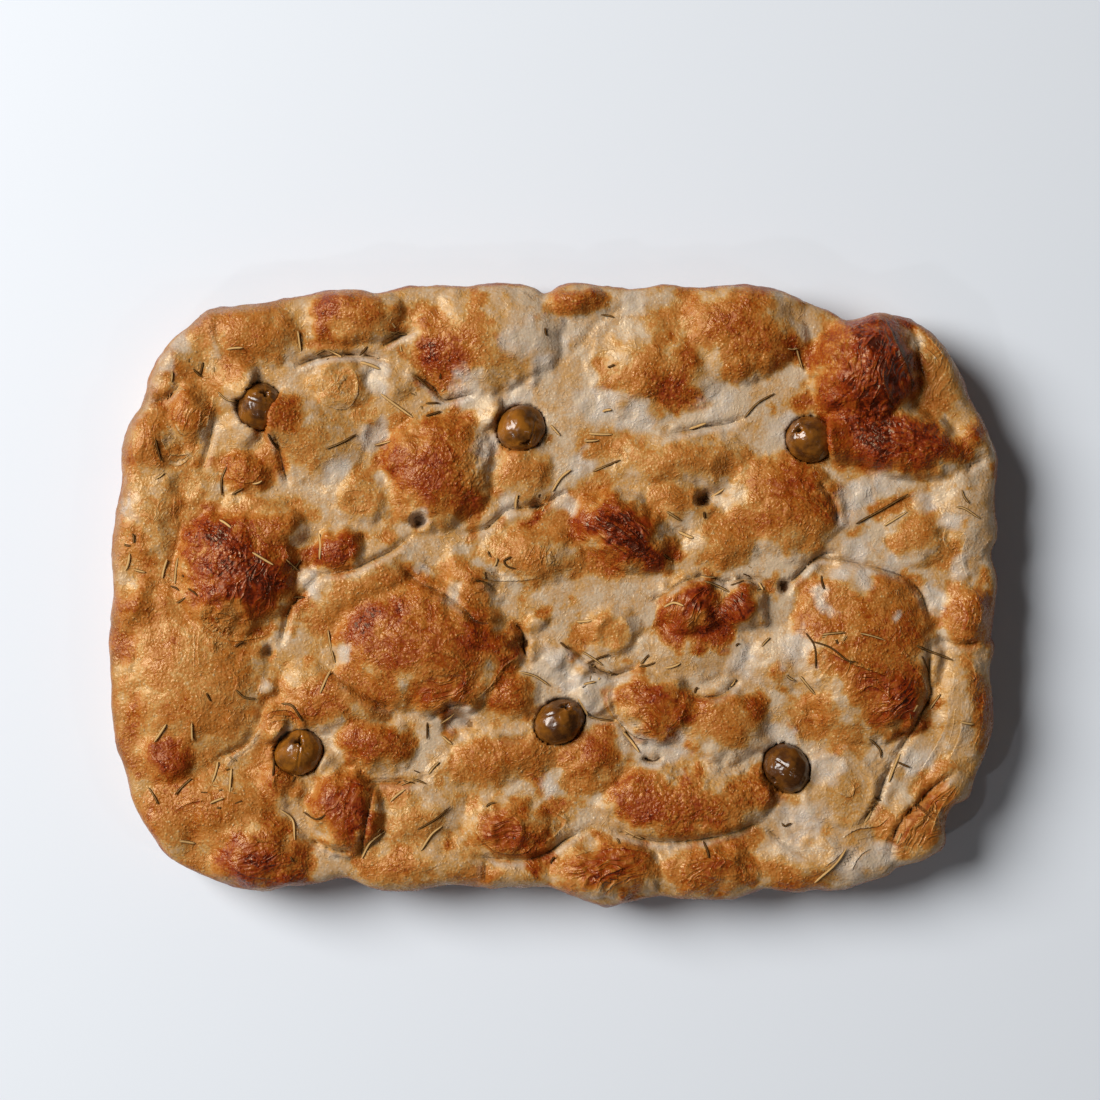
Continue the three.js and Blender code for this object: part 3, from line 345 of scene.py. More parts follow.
# Wet, nearly white dough, thin over a bubble or in a fold: centre, radius
PALE_PLACES = [
    (-147, 84, 8), (-140, 95, 7), (-153, 72, 5), (-157, 32, 5), (15, 70, 9), (-36, -46, 6), (0, -25, 8), (5, -31, 6),
    (15, -36, 7), (33, -55, 6), (43, -57, 7), (114, 7, 5), (106, 8, 4), (88, -20, 8), (100, -63, 8),
    (110, 35, 8), (137, 34, 5), (146, 27, 4), (107, 27, 5), (112, 16, 6), (126, 11, 5), (138, 1, 3),
    (99, -1, 4), (125, -8, 3), (-88, 5, 5), (-48, 9, 3), (-37, 1, 4), (-49, 28, 4), (-5, 85, 6),
    (-17, 33, 5), (30, 108, 6), (85, 60, 7), (30, 66, 8), (60, 70, 9), (120, 40, 6), (150, 10, 5),
    (-25, 54, 5), (-14, 72, 6), (3, 35, 5), (10, 49, 5), (-67, 57, 6), (-65, 79, 5), (-77, -22, 4), (4, 94, 7),
    (-105, -33, 3), (110, -100, 7), (119, -94, 5), (-12, 94, 8), (-80, 46, 5), (140, -2, 4), (70, -24, 7), (84, -52, 6), (90, -84, 9), (-33, 76, 7), (-2, -70, 5), (134, -62, 6),
]

# Whole olives: node, turn of the long axis in degrees, stretch, where the pit's hole faces, the facing
# and depth of a dent, the normal and offset of a fold in the skin, how dark the skin is
OLIVES = [
    ("olive_far_left", 65, 1.02, (0.35, 0.6, 0.7), (-0.9, 0.1, 0.4), 1.2, (0.3, 0.9, 0.2), 0.35, 0.3),
    ("olive_far_middle", 35, 1.06, (0.25, -0.72, 0.62), (0.62, 0.5, 0.6), 1.6, (0.8, -0.3, 0.1), 0.62, 0.08),
    ("olive_far_right", -35, 1.04, (-0.6, 0.45, 0.66), (-0.3, -0.6, 0.7), 0.8, (0.1, 0.9, 0.5), -0.35, 0.4),
    ("olive_near_left", 20, 1.06, (0.1, 0.55, 0.8), (-0.8, 0.5, 0.3), 1.0, (0.97, -0.15, 0.0), 0.06, -0.1),
    ("olive_near_middle", 30, 1.14, (0.3, 0.75, 0.6), (0.8, 0.0, 0.6), 0.6, (-0.3, 0.8, 0.3), 0.7, 0.4),
    ("olive_near_right", -55, 1.12, (-0.72, -0.5, 0.5), (-0.5, 0.6, 0.6), 1.0, (0.5, 0.75, 0.1), 0.12, 0.75),
]

# Dough that laps over an olive: the lap's edge, where it faces in degrees, half-width, run behind it, height
LAPS = [
    (-105.7, 65, 172, 9, 15, 34.8), (-111.3, 75, -38, 7, 11, 32.5), (-110.8, 63.6, 38, 6, 10, 31), (99.6, 57, 185, 8, 10, 36),
    (-99.5, -51, -35, 5.5, 7, 32.5), (79, -70.5, 40, 5, 8, 31.5), (-20.5, 65, -30, 6, 7, 30.5),
    (10, -40, 225, 4, 5, 31), (-86, -61, 150, 6, 6, 30),
]

# Rosemary needles as the points they run through, and how dark each has baked (0 straw, 1 black)
NEEDLES = [
    (0.4, [(-120, 90), (-114, 90.5)]), (0.5, [(-94, 97), (-93, 89.5)]), (0.9, [(-132.5, 83), (-129.5, 80)]),
    (0.9, [(-129, 85.5), (-130, 81)]), (0.6, [(-140, 82), (-140.5, 78)]),
    (0.7, [(-123.5, 74.5), (-120, 71.5), (-114, 70.5)]), (0.1, [(-108, 78), (-104, 72.5)]),
    (0.9, [(-146, 57), (-144, 49)]), (0.9, [(-104.5, 59), (-101, 53)]), (0.4, [(-63.5, 73.8), (-52, 65.3)]),
    (0.9, [(-50.5, 80), (-45.5, 75.5)]), (0.9, [(-47, 70.3), (-42, 70.5)]), (1, [(-47, 65.7), (-41.5, 67.5)]),
    (0.8, [(-83.5, 53.5), (-78, 55.5), (-72.5, 59)]), (0.5, [(-66, 55), (-60, 56.5)]),
    (0.9, [(-68.5, 91.3), (-71.5, 88)]), (0.2, [(-71, 85.5), (-64, 83)]), (0.9, [(-3, 98), (-2.5, 95)]),
    (0.8, [(17.5, 103), (22.3, 102)]), (0.9, [(19.8, 83.5), (22.3, 84.5)]), (0.4, [(18, 67.3), (21.3, 68)]),
    (0.4, [(-1.2, 62.5), (2.3, 58.5)]), (0.4, [(13, 59.3), (21.5, 59)]), (0.5, [(11.2, 56.5), (16.5, 56.8)]),
    (0.8, [(70, 65), (75, 70.5), (81.3, 74)]), (0.2, [(50, 61), (56, 63)]), (0.6, [(86, 90.3), (89.5, 90.5)]),
    (0.6, [(89.3, 90.5), (91.5, 83)]), (0.8, [(-120.3, 47), (-122.3, 42), (-122, 36.5)]),
    (0.8, [(-118.3, 36.7), (-114, 39)]), (0.5, [(-110.5, 40.7), (-107, 41.8)]),
    (0.5, [(-146.5, 42.5), (-143, 45)]), (0.8, [(-154.3, 19), (-154.5, 22.5)]),
    (0.8, [(-158, 18.5), (-155.5, 18)]), (0.1, [(-157.5, 9), (-156, 15)]), (0.1, [(-144, 6), (-142, 13)]),
    (0.5, [(-154.5, 9.3), (-150.3, 8.2)]), (0.5, [(-139.3, 4), (-138, 13.5)]),
    (0.9, [(-141, 3.2), (-137.5, 1.5)]), (0.8, [(-138.5, -3), (-135, -1)]), (1, [(-134, 2.3), (-130.2, -0.5)]),
    (0.4, [(-122.5, 27.5), (-118, 24.5)]), (0.3, [(-110, 15.5), (-102.5, 11)]),
    (0.1, [(-86.3, 22.5), (-85.3, 18), (-85.8, 13)]), (0.7, [(-98, 13), (-94, 9)]), (0.9, [(-96, 9), (-93, 13)]),
    (0.9, [(-95.5, -1), (-91.5, -1)]), (1, [(-116.7, -19.3), (-113.7, -17.2)]),
    (0.8, [(-25.5, 24), (-23.5, 25.5)]), (0.1, [(-14, 31.5), (-13.2, 36.8)]), (0.9, [(-6.5, 31.5), (-3.5, 33.2)]),
    (0.8, [(-24, 16), (-23, 13.8)]), (0.4, [(-21.8, 10.5), (-20.8, 13.5)]),
    (1, [(-15.5, 14), (-18, 12.5), (-17, 10.5), (-14, 9.5)]), (0.9, [(-28.5, 5.3), (-24, 4)]),
    (0.1, [(-0.5, 38), (3, 43), (6.5, 46)]), (0.8, [(14.5, 45.3), (24.5, 49.5)]),
    (0.7, [(41.5, 30.5), (46.5, 27.3)]), (0.1, [(46, 23.2), (51.3, 20.8)]), (1, [(55.3, 30.5), (55.5, 28)]),
    (0.4, [(58, 36), (62.8, 39)]), (0.9, [(40.5, 14.8), (43, 13)]), (0.7, [(54, 6.8), (59.5, 6.5)]),
    (0.7, [(55.5, 5), (64.5, 1)]), (0.9, [(65, 3.5), (70, 5.3)]), (0.4, [(75.5, 4.5), (77, 1.8)]),
    (0.2, [(40.5, -4.5), (44, -3), (47.5, -4)]), (0.3, [(8.5, -10), (14, -9.5)]), (0.9, [(67, -19), (68.5, -18)]),
    (0.6, [(76.5, -19), (79.5, -15.8)]), (0.85, [(111.2, 26), (121, 31), (130.5, 37)]),
    (0.4, [(121.5, 25.3), (130, 30.5)]), (0.7, [(149.8, 38.5), (150.5, 36), (152.3, 33.5)]),
    (0.6, [(147.5, 32.3), (151, 31.5), (156.3, 28)]), (1, [(98.5, 7), (99.2, 2)]),
    (0.7, [(98.3, -14.5), (106.5, -13.7)]), (0.6, [(112, -14), (120.5, -16.3)]),
    (1, [(94.5, -17), (101, -19.5), (107, -24), (110.5, -24.3)]), (0.9, [(92.5, -14), (95.5, -19), (96, -27)]),
    (0.7, [(85.5, -29.5), (88.5, -31.5)]), (0.6, [(90.5, -30), (96, -36.7)]),
    (0.8, [(133, -18.7), (138, -21), (146.5, -24)]), (1, [(135, -22.5), (138, -28.5)]),
    (0.9, [(133.8, -45), (138.3, -39.3)]), (0.6, [(138.5, -42), (142, -36.5)]), (0.4, [(149, -46.5), (154, -47.5)]),
    (0.8, [(116, -53), (120, -57), (120.3, -60)]), (0.1, [(127.5, -58.5), (123.3, -69)]),
    (0.9, [(126.5, -61.5), (131, -63.5)]), (1, [(-127, -36), (-125.5, -39)]),
    (0.8, [(-116.5, -34.8), (-113, -37.5), (-109.5, -38)]), (0.4, [(-132.5, -47), (-132.5, -53.5)]),
    (0.3, [(-142, -47.5), (-146.5, -54)]), (0.9, [(-100, -40), (-96, -41), (-92, -46.5)]),
    (0.9, [(-94, -65.5), (-96, -68.8)]), (0.9, [(-103, -60), (-103, -66.5)]),
    (0.4, [(-123.5, -61.5), (-125.5, -69)]), (0.4, [(-118.5, -64), (-118.8, -72.5)]),
    (0.8, [(-133, -67.5), (-139, -73.5)]), (0.8, [(-149, -71), (-145.2, -77)]),
    (0.4, [(-126, -76.5), (-121, -74.5)]), (0.4, [(-137.5, -90.5), (-132, -91.5)]),
    (1, [(-92, -80), (-87, -82), (-83.5, -80.5)]), (0.4, [(-100.5, -79), (-96, -83), (-95, -90)]),
    (0.9, [(-96.5, -96), (-95.5, -98)]), (0.6, [(-83, -13), (-80.5, -25)]), (0.4, [(-82, -28), (-85.5, -36)]),
    (1, [(-46.5, -47), (-46.5, -53.3)]), (0.5, [(-41.5, -47.5), (-36.5, -43.8)]), (0.4, [(-41, -52), (-37.5, -55)]),
    (0.6, [(-12, -28.5), (-7, -30), (-1.5, -33.5)]), (0.9, [(-55.5, -68.5), (-51, -69.5)]),
    (0.8, [(-52, -68), (-47, -69.5)]), (0.2, [(-60, -76), (-54.5, -71.5)]), (0.6, [(-46, -66), (-42, -61.5)]),
    (0.9, [(2.5, -17.5), (5, -19.8)]), (0.6, [(10.5, -21), (18, -26)]), (0.9, [(12.5, -25.5), (20.5, -22)]),
    (0.5, [(11, -33), (15.5, -32)]), (0.8, [(17, -27.5), (23, -29.5)]), (0.9, [(31.5, -26.5), (37.5, -25)]),
    (0.8, [(32, -25.5), (35, -22)]), (0.4, [(41, -27), (46.5, -25.2)]), (0.9, [(52, -36.3), (53, -34)]),
    (0.6, [(65, -34), (67, -31)]), (0.2, [(9, -38), (12.5, -44.5)]), (0.8, [(13, -45), (22, -46.5)]),
    (0.4, [(25.5, -50.5), (31.5, -58)]), (0.9, [(-50, -86.3), (-43, -82.3), (-37.8, -77.8)]),
    (0.4, [(-48.8, -94), (-45, -88), (-41, -85)]), (0.8, [(-64.5, -87.3), (-63.3, -86)]),
    (0.4, [(-70.5, -97), (-67, -91), (-62, -87)]), (0.8, [(-24.8, -77.8), (-21.5, -76.3)]),
    (1, [(-1, -99), (0.5, -96.5)]), (0.8, [(23.3, -89.5), (24.3, -91.3)]), (1, [(55, -90.7), (57, -96.5)]),
    (0.5, [(26, -86.5), (33, -90)]), (0.9, [(84, -84), (85, -85.5), (87.5, -84)]),
    (0.9, [(118, -74.3), (120.5, -75.8)]), (0.1, [(114.3, -83.7), (117, -79.5)]),
    (0.1, [(96, -106), (104, -98.5), (107.5, -93)]), (0.2, [(126, -91.5), (127.5, -87.5)]),
    (0.8, [(-88, 88), (-84, 90)]), (0.9, [(-86, 87), (-80, 88.5)]), (0.6, [(-83, 90), (-78, 87.5)]),
    (0.9, [(-62, 94), (-57, 97)]), (0.7, [(-60, 96.5), (-54, 96)]),
]

# Where small broken bits of rosemary have gathered: centre, radius
BIT_CLUSTERS = [
    (-83, 88, 8), (-58, 96, 6), (-95, 11, 4), (-51, -69, 6), (-135, 80, 9), (70, 3, 9), (-27, 6, 6),
    (14, -28, 8), (-46, 74, 8), (100, -18, 9), (-120, -70, 12), (135, -40, 9), (-4, 33, 5), (-137, 2, 6),
]

# Mesh density of the crust: cells along and across the core, then rows out to the rim and under it
CELLS_ALONG = 266
CELLS_ACROSS = 172
BAND_ROWS = 24
SHOULDER_ROWS = 19
FOOT_ROWS = 11
BASE_RINGS = (0.93, 0.55)
RIM_SAMPLES = 2400
SNAP_REACH = 0.5


def linear(hex_colour):
    """An sRGB hex colour as linear red, green, blue and alpha."""
    channels = [int(hex_colour[i:i + 2], 16) / 255 for i in (0, 2, 4)]
    return tuple(c / 12.92 if c <= 0.04045 else ((c + 0.055) / 1.055) ** 2.4 for c in channels) + (1.0,)


def smooth(low, high, value):
    """0 below low, 1 above high, with a soft ramp between."""
    t = np.clip((value - low) / (high - low), 0, 1)
    return t * t * (3 - 2 * t)


class Grain:
    """Seeded noise over a plane, about -1 to 1."""

    def __init__(self, seed):
        self.turn = np.random.default_rng(seed).uniform(0, 2 * np.pi, (256, 256))

    def __call__(self, x, y, size):
        u, v = x / size, y / size
        i, j = np.floor(u).astype(int), np.floor(v).astype(int)
        fu, fv = u - i, v - j

        def corner(di, dj):
            angle = self.turn[(i + di) & 255, (j + dj) & 255]
            return np.cos(angle) * (fu - di) + np.sin(angle) * (fv - dj)

        su = fu * fu * fu * (fu * (fu * 6 - 15) + 10)
        sv = fv * fv * fv * (fv * (fv * 6 - 15) + 10)
        near = corner(0, 0) * (1 - su) + corner(1, 0) * su
        far = corner(0, 1) * (1 - su) + corner(1, 1) * su
        return 1.5 * (near * (1 - sv) + far * sv)

    def cloud(self, x, y, size, octaves=3):
        """Several sizes of noise on top of each other, each half as large and half as strong."""
        return sum(self(x + 37 * k, y - 53 * k, size / 2 ** k) / 2 ** k for k in range(octaves))


def turned(x, y, cx, cy, turn):
    """Places measured along and across an axis turned about a centre."""
    a = math.radians(turn)
    along = (x - cx) * math.cos(a) + (y - cy) * math.sin(a)
    across = -(x - cx) * math.sin(a) + (y - cy) * math.cos(a)
    return along, across


def smooth_line(points, step=1.0):
    """A Catmull-Rom line through given points, as an array with about one point each step."""
    given = np.array(points, float)
    padded = np.vstack([2 * given[0] - given[1], given, 2 * given[-1] - given[-2]])
    line = []
    for k in range(1, len(padded) - 2):
        a, b, c, d = padded[k - 1:k + 3]
        count = max(2, int(np.linalg.norm(c - b) / step))
        for t in np.arange(count) / count:
            line.append(0.5 * (2 * b + (c - a) * t + (2 * a - 5 * b + 4 * c - d) * t ** 2
                               + (3 * b - 3 * c + d - a) * t ** 3))
    line.append(given[-1])
    return np.array(line)


def olive_places():
    """Centre of each olive in millimetres, from its solid."""
    return [sum((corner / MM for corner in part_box(name)), Vector()) / 2 for name, *_ in OLIVES]


class CreaseField:
    """Signed distance to the nearest crease, the strength of its painted shade there, and how deep it carves."""

    def __init__(self):
        self.lines = [(depth, width, dark, smooth_line(points)) for depth, width, dark, points in CREASES]
        self.pleats = [(height, smooth_line(points)) for height, points in PLEATS]

    def nearest(self, line, x, y):
        best = np.full(x.shape, 1e9)
        side = np.zeros(x.shape)
        share = np.zeros(x.shape)
        foot_x, foot_y = x.copy(), y.copy()
        for k in range(len(line) - 1):
            (ax, ay), (bx, by) = line[k], line[k + 1]
            dx, dy = bx - ax, by - ay
            t = np.clip(((x - ax) * dx + (y - ay) * dy) / (dx * dx + dy * dy), 0, 1)
            px, py = ax + t * dx, ay + t * dy
            distance = np.hypot(x - px, y - py)
            closer = distance < best
            best = np.where(closer, distance, best)
            side = np.where(closer, np.sign((x - ax) * dy - (y - ay) * dx), side)
            share = np.where(closer, (k + t) / (len(line) - 1), share)
            foot_x, foot_y = np.where(closer, px, foot_x), np.where(closer, py, foot_y)
        return best, side, share, foot_x, foot_y

    def around(self, line, x, y, pad):
        low, high = line.min(0) - pad, line.max(0) + pad
        return np.flatnonzero((x > low[0]) & (x < high[0]) & (y > low[1]) & (y < high[1]))

    def snap(self, x, y, free):
        """Moves the free mesh points beside a crease onto its line, so that the fold has a clean edge."""
        for *_, line in self.lines + self.pleats:
            near = self.around(line, x, y, 2)
            near = near[free[near]]
            best, _, _, foot_x, foot_y = self.nearest(line, x[near], y[near])
            close = near[best < SNAP_REACH]
            x[close], y[close] = foot_x[best < SNAP_REACH], foot_y[best < SNAP_REACH]

    def measure(self, x, y, grain):
        carve = np.zeros(x.shape)
        side = np.full(x.shape, 9.0)
        dark = np.zeros(x.shape)
        for depth, width, darkness, line in self.lines:
            near = self.around(line, x, y, 9)
            best, sign, share, _, _ = self.nearest(line, x[near], y[near])
            taper = smooth(-0.02, 0.22, share) * smooth(1.02, 0.78, share)
            wobble = 1 + 0.35 * grain(x[near], y[near], 6.0)
            fold = 0.7 * depth * taper * wobble * np.exp(-best / (0.38 * width))
            lip = -0.08 * depth * taper * np.exp(-((best - 2.8) / 1.3) ** 2)
            carve[near] += fold + lip
            closer = best < np.abs(side[near])
            side[near] = np.where(closer, best * sign, side[near])
            # Strength of the painted shade along the crease
            strength = darkness * taper * wobble * smooth(5.0, 2.5, best)
            dark[near] = np.maximum(dark[near], np.where(closer, strength, 0))
        return carve, side, dark

    def raised(self, x, y):
        """Signed distance to the nearest raised fold, and its height there."""
        side = np.full(x.shape, 9.0)
        stands = np.zeros(x.shape)
        for height, line in self.pleats:
            near = self.around(line, x, y, 5)
            best, sign, share, _, _ = self.nearest(line, x[near], y[near])
            taper = smooth(-0.02, 0.3, share) * smooth(1.02, 0.7, share)
            closer = best < np.abs(side[near])
            side[near] = np.where(closer, best * sign, side[near])
            stands[near] = np.where(closer, height * taper * smooth(4.5, 2.0, best), stands[near])
        return side, stands


def rim_line():
    """The rim as a closed line of points, fitted to the solid's length and width."""
    points = np.array(RIM_EAST + RIM_NORTH + RIM_WEST + RIM_SOUTH + RIM_SOUTH_EAST, float)
    count = len(points)
    line = []
    for k in range(count):
        a, b, c, d = (points[(k + i) % count] for i in (-1, 0, 1, 2))
        for t in np.linspace(0, 1, RIM_SAMPLES // count, endpoint=False):
            line.append(0.5 * (2 * b + (c - a) * t + (2 * a - 5 * b + 4 * c - d) * t ** 2
                               + (3 * b - 3 * c + d - a) * t ** 3))
    line = np.array(line)
    low, high = line.min(0), line.max(0)
    return (line - (low + high) / 2) * np.array([LOAF_LENGTH, LOAF_WIDTH]) / (high - low)


def distance_to_rim(rim, at, out):
    """How far each inner point lies from the rim along its outward direction."""
    ends = np.roll(rim, -1, 0)
    reach = np.empty(len(at))
    for k, (place, way) in enumerate(zip(at, out)):
        a, b = rim - place, ends - place
        side_a = way[0] * a[:, 1] - way[1] * a[:, 0]
        side_b = way[0] * b[:, 1] - way[1] * b[:, 0]
        crossing = (side_a > 0) != (side_b > 0)
        t = side_a[crossing] / (side_a[crossing] - side_b[crossing])
        along = ((a[crossing] + t[:, None] * (b - a)[crossing]) @ way)
        reach[k] = along[along > 0].min()
    return reach


def rounded_rectangle(half_x, half_y, corner, share):
    """Points and outward directions at shares of the way round, from the right side's middle."""
    straight_x, straight_y, arc = half_x - corner, half_y - corner, corner * math.pi / 2
    steps = [
        (straight_y, (half_x, 0), (0, 1)), (arc, (straight_x, straight_y), 0.0),
        (2 * straight_x, (straight_x, half_y), (-1, 0)), (arc, (-straight_x, straight_y), math.pi / 2),
        (2 * straight_y, (-half_x, straight_y), (0, -1)), (arc, (-straight_x, -straight_y), math.pi),
        (2 * straight_x, (-straight_x, -half_y), (1, 0)), (arc, (straight_x, -straight_y), math.pi * 1.5),
        (straight_y, (half_x, -straight_y), (0, 1)),
    ]
    left = share * (4 * straight_x + 4 * straight_y + 4 * arc)
    for length, (x, y), way in steps:
        if left <= length + 1e-9:
            if isinstance(way, tuple):
                return (x + way[0] * left, y + way[1] * left), (way[1], -way[0])
            angle = way + left / max(corner, 1e-9)
            out = (math.cos(angle), math.sin(angle))
            return (x + corner * out[0], y + corner * out[1]), out
        left -= length
    return (half_x, 0.0), (1.0, 0.0)


def share_round(i, j):
    """Share of the way round the core's edge for a cell corner on the square grid, from its middle."""
    u, v = 2 * i / CELLS_ALONG - 1, 2 * j / CELLS_ACROSS - 1
    level = max(abs(u), abs(v), 1e-9)
    u, v = u / level, v / level
    whole = 2 * (CELLS_ALONG + CELLS_ACROSS)
    half = CELLS_ACROSS / 2
    if u >= 1 - 1e-9 and v >= 0:
        return level, v * half / whole
    if v >= 1 - 1e-9:
        return level, (half + (1 - u) / 2 * CELLS_ALONG) / whole
    if u <= -1 + 1e-9:
        return level, (half + CELLS_ALONG + (1 - v) / 2 * CELLS_ACROSS) / whole
    if v <= -1 + 1e-9:
        return level, (CELLS_ACROSS * 1.5 + CELLS_ALONG + (1 + u) / 2 * CELLS_ALONG) / whole
    return level, (CELLS_ACROSS * 1.5 + 2 * CELLS_ALONG + (1 + v) / 2 * CELLS_ACROSS) / whole


def core_place(i, j):
    """Place on the crust of a cell corner of the square grid."""
    level, share = share_round(i, j)
    half_x, half_y = (LOAF_LENGTH / 2 - CORE_INSET) * level, (LOAF_WIDTH / 2 - CORE_INSET) * level
    return rounded_rectangle(half_x, half_y, CORE_CORNER * level ** 3, share)[0]


class Crust:
    """The bread's surface: its relief and how far each place has baked."""

    def __init__(self, settings):
        self.grain = Grain(settings.seed)
        self.fine = Grain(settings.seed + 1)
        self.creases = CreaseField()
        self.olives = olive_places()
        draw = np.random.default_rng(settings.seed + 2)
        count = settings.blister_count
        self.blisters = np.column_stack([
            draw.uniform(-LOAF_LENGTH / 2, LOAF_LENGTH / 2, count),
            draw.uniform(-LOAF_WIDTH / 2, LOAF_WIDTH / 2, count),
            draw.uniform(1.3, settings.blister_size, count),
            draw.uniform(0.6, 1.4, count),
            draw.uniform(0, 180, count),
            draw.uniform(0.15, 0.55, count),
        ])

    def warped(self, x, y):
        """Places shifted a little, so that no bubble or patch is a plain oval."""
        return (x + 2.6 * self.grain.cloud(x, y, 15) + 1.0 * self.fine.cloud(x, y, 5, 2),
                y + 2.6 * self.grain.cloud(x + 400, y, 15) + 1.0 * self.fine.cloud(x + 400, y, 5, 2))

    def rise(self, x, y):
        total = np.zeros(x.shape)
        wx, wy = self.warped(x, y)
        for cx, cy, along, across, turn, rise, fullness in BUBBLES:
            u, v = turned(wx, wy, cx, cy, turn)
            left = np.clip(1 - (u / along) ** 2 - (v / across) ** 2, 0, None)
            bubble = rise * left ** (fullness * (1.4 if rise < 5.3 else 0.95))
            overlap = np.clip(MERGE - np.abs(total - bubble), 0, None) / MERGE
            total = np.maximum(total, bubble) + overlap ** 2 * MERGE / 4 * (bubble > 0)
        return total

    def bake(self, x, y, rise):
        """0 for raw-looking dough, 0.5 golden, 1 charred. Near the west and south edges it also holds painted shade.
        """
        level = 0.18 + 0.11 * self.grain.cloud(x, y, 19) + 0.05 * smooth(40, -100, x) + 0.006 * rise
        # Darker towards the west edge, the south edge and the south-east rim: partly browner crust, partly painted
        # shade where the light falls off
        level += (0.12 + 0.17 * self.grain.cloud(x + 60, y, 13, 4)) * smooth(-100, -133, x)
        level += 0.03 * smooth(-95, -130, x) * smooth(40, 0, y) + 0.06 * smooth(-70, -105, y)
        level += 0.05 * smooth(122, 145, x) * smooth(-30, -60, y)
        level += 0.08 * self.fine.cloud(x + 90, y, 6, 4)
        wx, wy = self.warped(x, y)
        ragged = 0.6 * self.fine.cloud(x, y + 200, 11, 5)
        for cx, cy, along, across, turn, target in BROWNING:
            u, v = turned(wx, wy, cx, cy, turn)
            d = np.hypot(u / along, v / across) * (1 + ragged)
            level = np.maximum(level, 0.6 * target * smooth(1.8, 0.9, d))
            level = level + (target + 0.03 - level) * smooth(1.42, 0.35, d)
        return level

    def granular(self, x, y):
        total = np.zeros(x.shape)
        for cx, cy, radius, strength in GRANULAR:
            d = np.hypot(x - cx, y - cy) / radius * (1 + 0.5 * self.fine.cloud(x + 9, y, 7, 3))
            total = np.maximum(total, strength * smooth(1.1, 0.4, d))
        return total

    def pale(self, x, y):
        wx, wy = self.warped(x, y)
        total = np.zeros(x.shape)
        for cx, cy, radius in PALE_PLACES:
            d = np.hypot(wx - cx, wy - cy) / radius * (1 + 0.4 * self.fine.cloud(x, y, 5, 2))
            total = np.maximum(total, smooth(1.3, 0.3, d))
        return total

    def ripples(self, x, y):
        total = np.zeros(x.shape)
        for cx, cy, along, across, turn, spacing, depth in WRINKLES:
            u, v = turned(x, y, cx, cy, turn)
            du, dv = turned(x, y, cx, cy, 0)
            mask = smooth(1.1, 0.4, np.hypot(du / along, dv / across))
            drift = 2.2 * self.grain.cloud(x, y, 9, 2)
            crest = 1 - 2 * np.abs(self.fine(u / 2.8 + cx, v + drift + cy, spacing))
            total += depth * mask * crest * 0.33
        return total

    def folds(self, x, y):
        """Where the skin is wrinkled: how strongly, and the place along and across the wrinkles."""
        strength, second, along, across = (np.zeros(x.shape) for _ in range(4))
        for k, (cx, cy, half_x, half_y, turn, spacing, depth) in enumerate(WRINKLES):
            u, v = turned(x, y, cx, cy, turn)
            share = depth * smooth(1.15, 0.4, np.hypot((x - cx) / half_x, (y - cy) / half_y))
            stronger = share > strength
            drift = 2.6 * self.grain.cloud(x, y, 11, 2)
            along = np.where(stronger, u / 9 + 5 * k, along)
            across = np.where(stronger, (v + drift) / spacing + 3 * k, across)
            second = np.where(stronger, strength, np.maximum(second, share))
            strength = np.maximum(strength, share)
        return strength * smooth(0.0, 0.2, strength - second), along, across

    def small_relief(self, x, y, bake):
        relief = 0.3 * self.grain.cloud(x + 70, y, 24, 2) + 0.1 * self.grain.cloud(x, y + 70, 9, 2)
        browned = smooth(0.3, 0.75, bake)
        relief += (0.05 + 0.1 * browned) * self.fine.cloud(x, y, 3.1, 2)
        relief += 0.085 * (1 - 2.2 * np.abs(self.fine(x, y + 31, 7.5) + 0.3 * self.grain(x, y, 3.4)))
        relief += (0.05 + 0.085 * browned) * (1 - 2.2 * np.abs(self.grain(x + 11, y + 31, 3.7)))
        for cx, cy, radius, ratio, turn, height in self.blisters:
            near = np.flatnonzero((np.abs(x - cx) < 7) & (np.abs(y - cy) < 7))
            u, v = turned(x[near], y[near], cx, cy, turn)
            left = np.clip(1 - (u / radius / ratio) ** 2 - (v * ratio / radius) ** 2, 0, None)
            relief[near] += height * left ** 0.8 * (0.25 + 0.75 * browned[near])
        for cx, cy, radius, height in RINGS:
            r = np.hypot(x - cx, y - cy) * (1 + 0.12 * self.grain(x, y, 8))
            relief += height * (np.exp(-((r - radius) / 1.5) ** 2) - 0.8 * np.exp(-(r / radius * 1.5) ** 2))
        return relief + self.ripples(x, y)

    def height(self, x, y):
        """Height of the top and all the fields that the finish reads."""
        rise = self.rise(x, y)
        pale = self.pale(x, y)
        bake = self.bake(x, y, rise) * (1 - 0.4 * pale)
        carve, side, dark = self.creases.measure(x, y, self.grain)
        height = DOUGH_LEVEL + rise - carve + self.small_relief(x, y, bake)
        height += 0.55 * pale * self.fine.cloud(x, y + 9, 6.5, 2)
        pleat_side, stands = self.creases.raised(x, y)
        slope = np.where(pleat_side < 0, np.exp(pleat_side / 1.8), np.exp(-pleat_side / 0.5))
        height += 0.6 * stands * slope * (0.75 + 0.5 * self.fine(x, y + 17, 6))
        for cx, cy, radius, depth, darkness in HOLES:
            r = np.hypot(x - cx, y - cy) * (1 + 0.25 * self.fine(x, y, 3))
            well = smooth(1.5, 0.4, r / radius)
            height -= depth * well
            # Painted shade in the bottom of the hole
            dark = np.maximum(dark, darkness * smooth(0.35, 0.7, well))
            side = np.where(darkness * well > 0.35, 0.0, side)
        herbs = np.zeros(x.shape)
        for cx, cy, radius in BIT_CLUSTERS:
            herbs = np.maximum(herbs, smooth(1.2, 0.3, np.hypot(x - cx, y - cy) / radius))
        for olive in self.olives:
            r = np.hypot(x - olive.x, y - olive.y)
            height -= DIMPLE_DEPTH * np.exp(-(r / DIMPLE_REACH) ** 2)
            herbs *= smooth(OLIVE_RADIUS, OLIVE_RADIUS + 2, r)
        for cx, cy, facing, half, run, lap in LAPS:
            ahead, v = turned(x, y, cx, cy, facing)
            back = -ahead - 0.08 * v ** 2 / half * 4 + 0.5 * self.fine(x, y, 4)
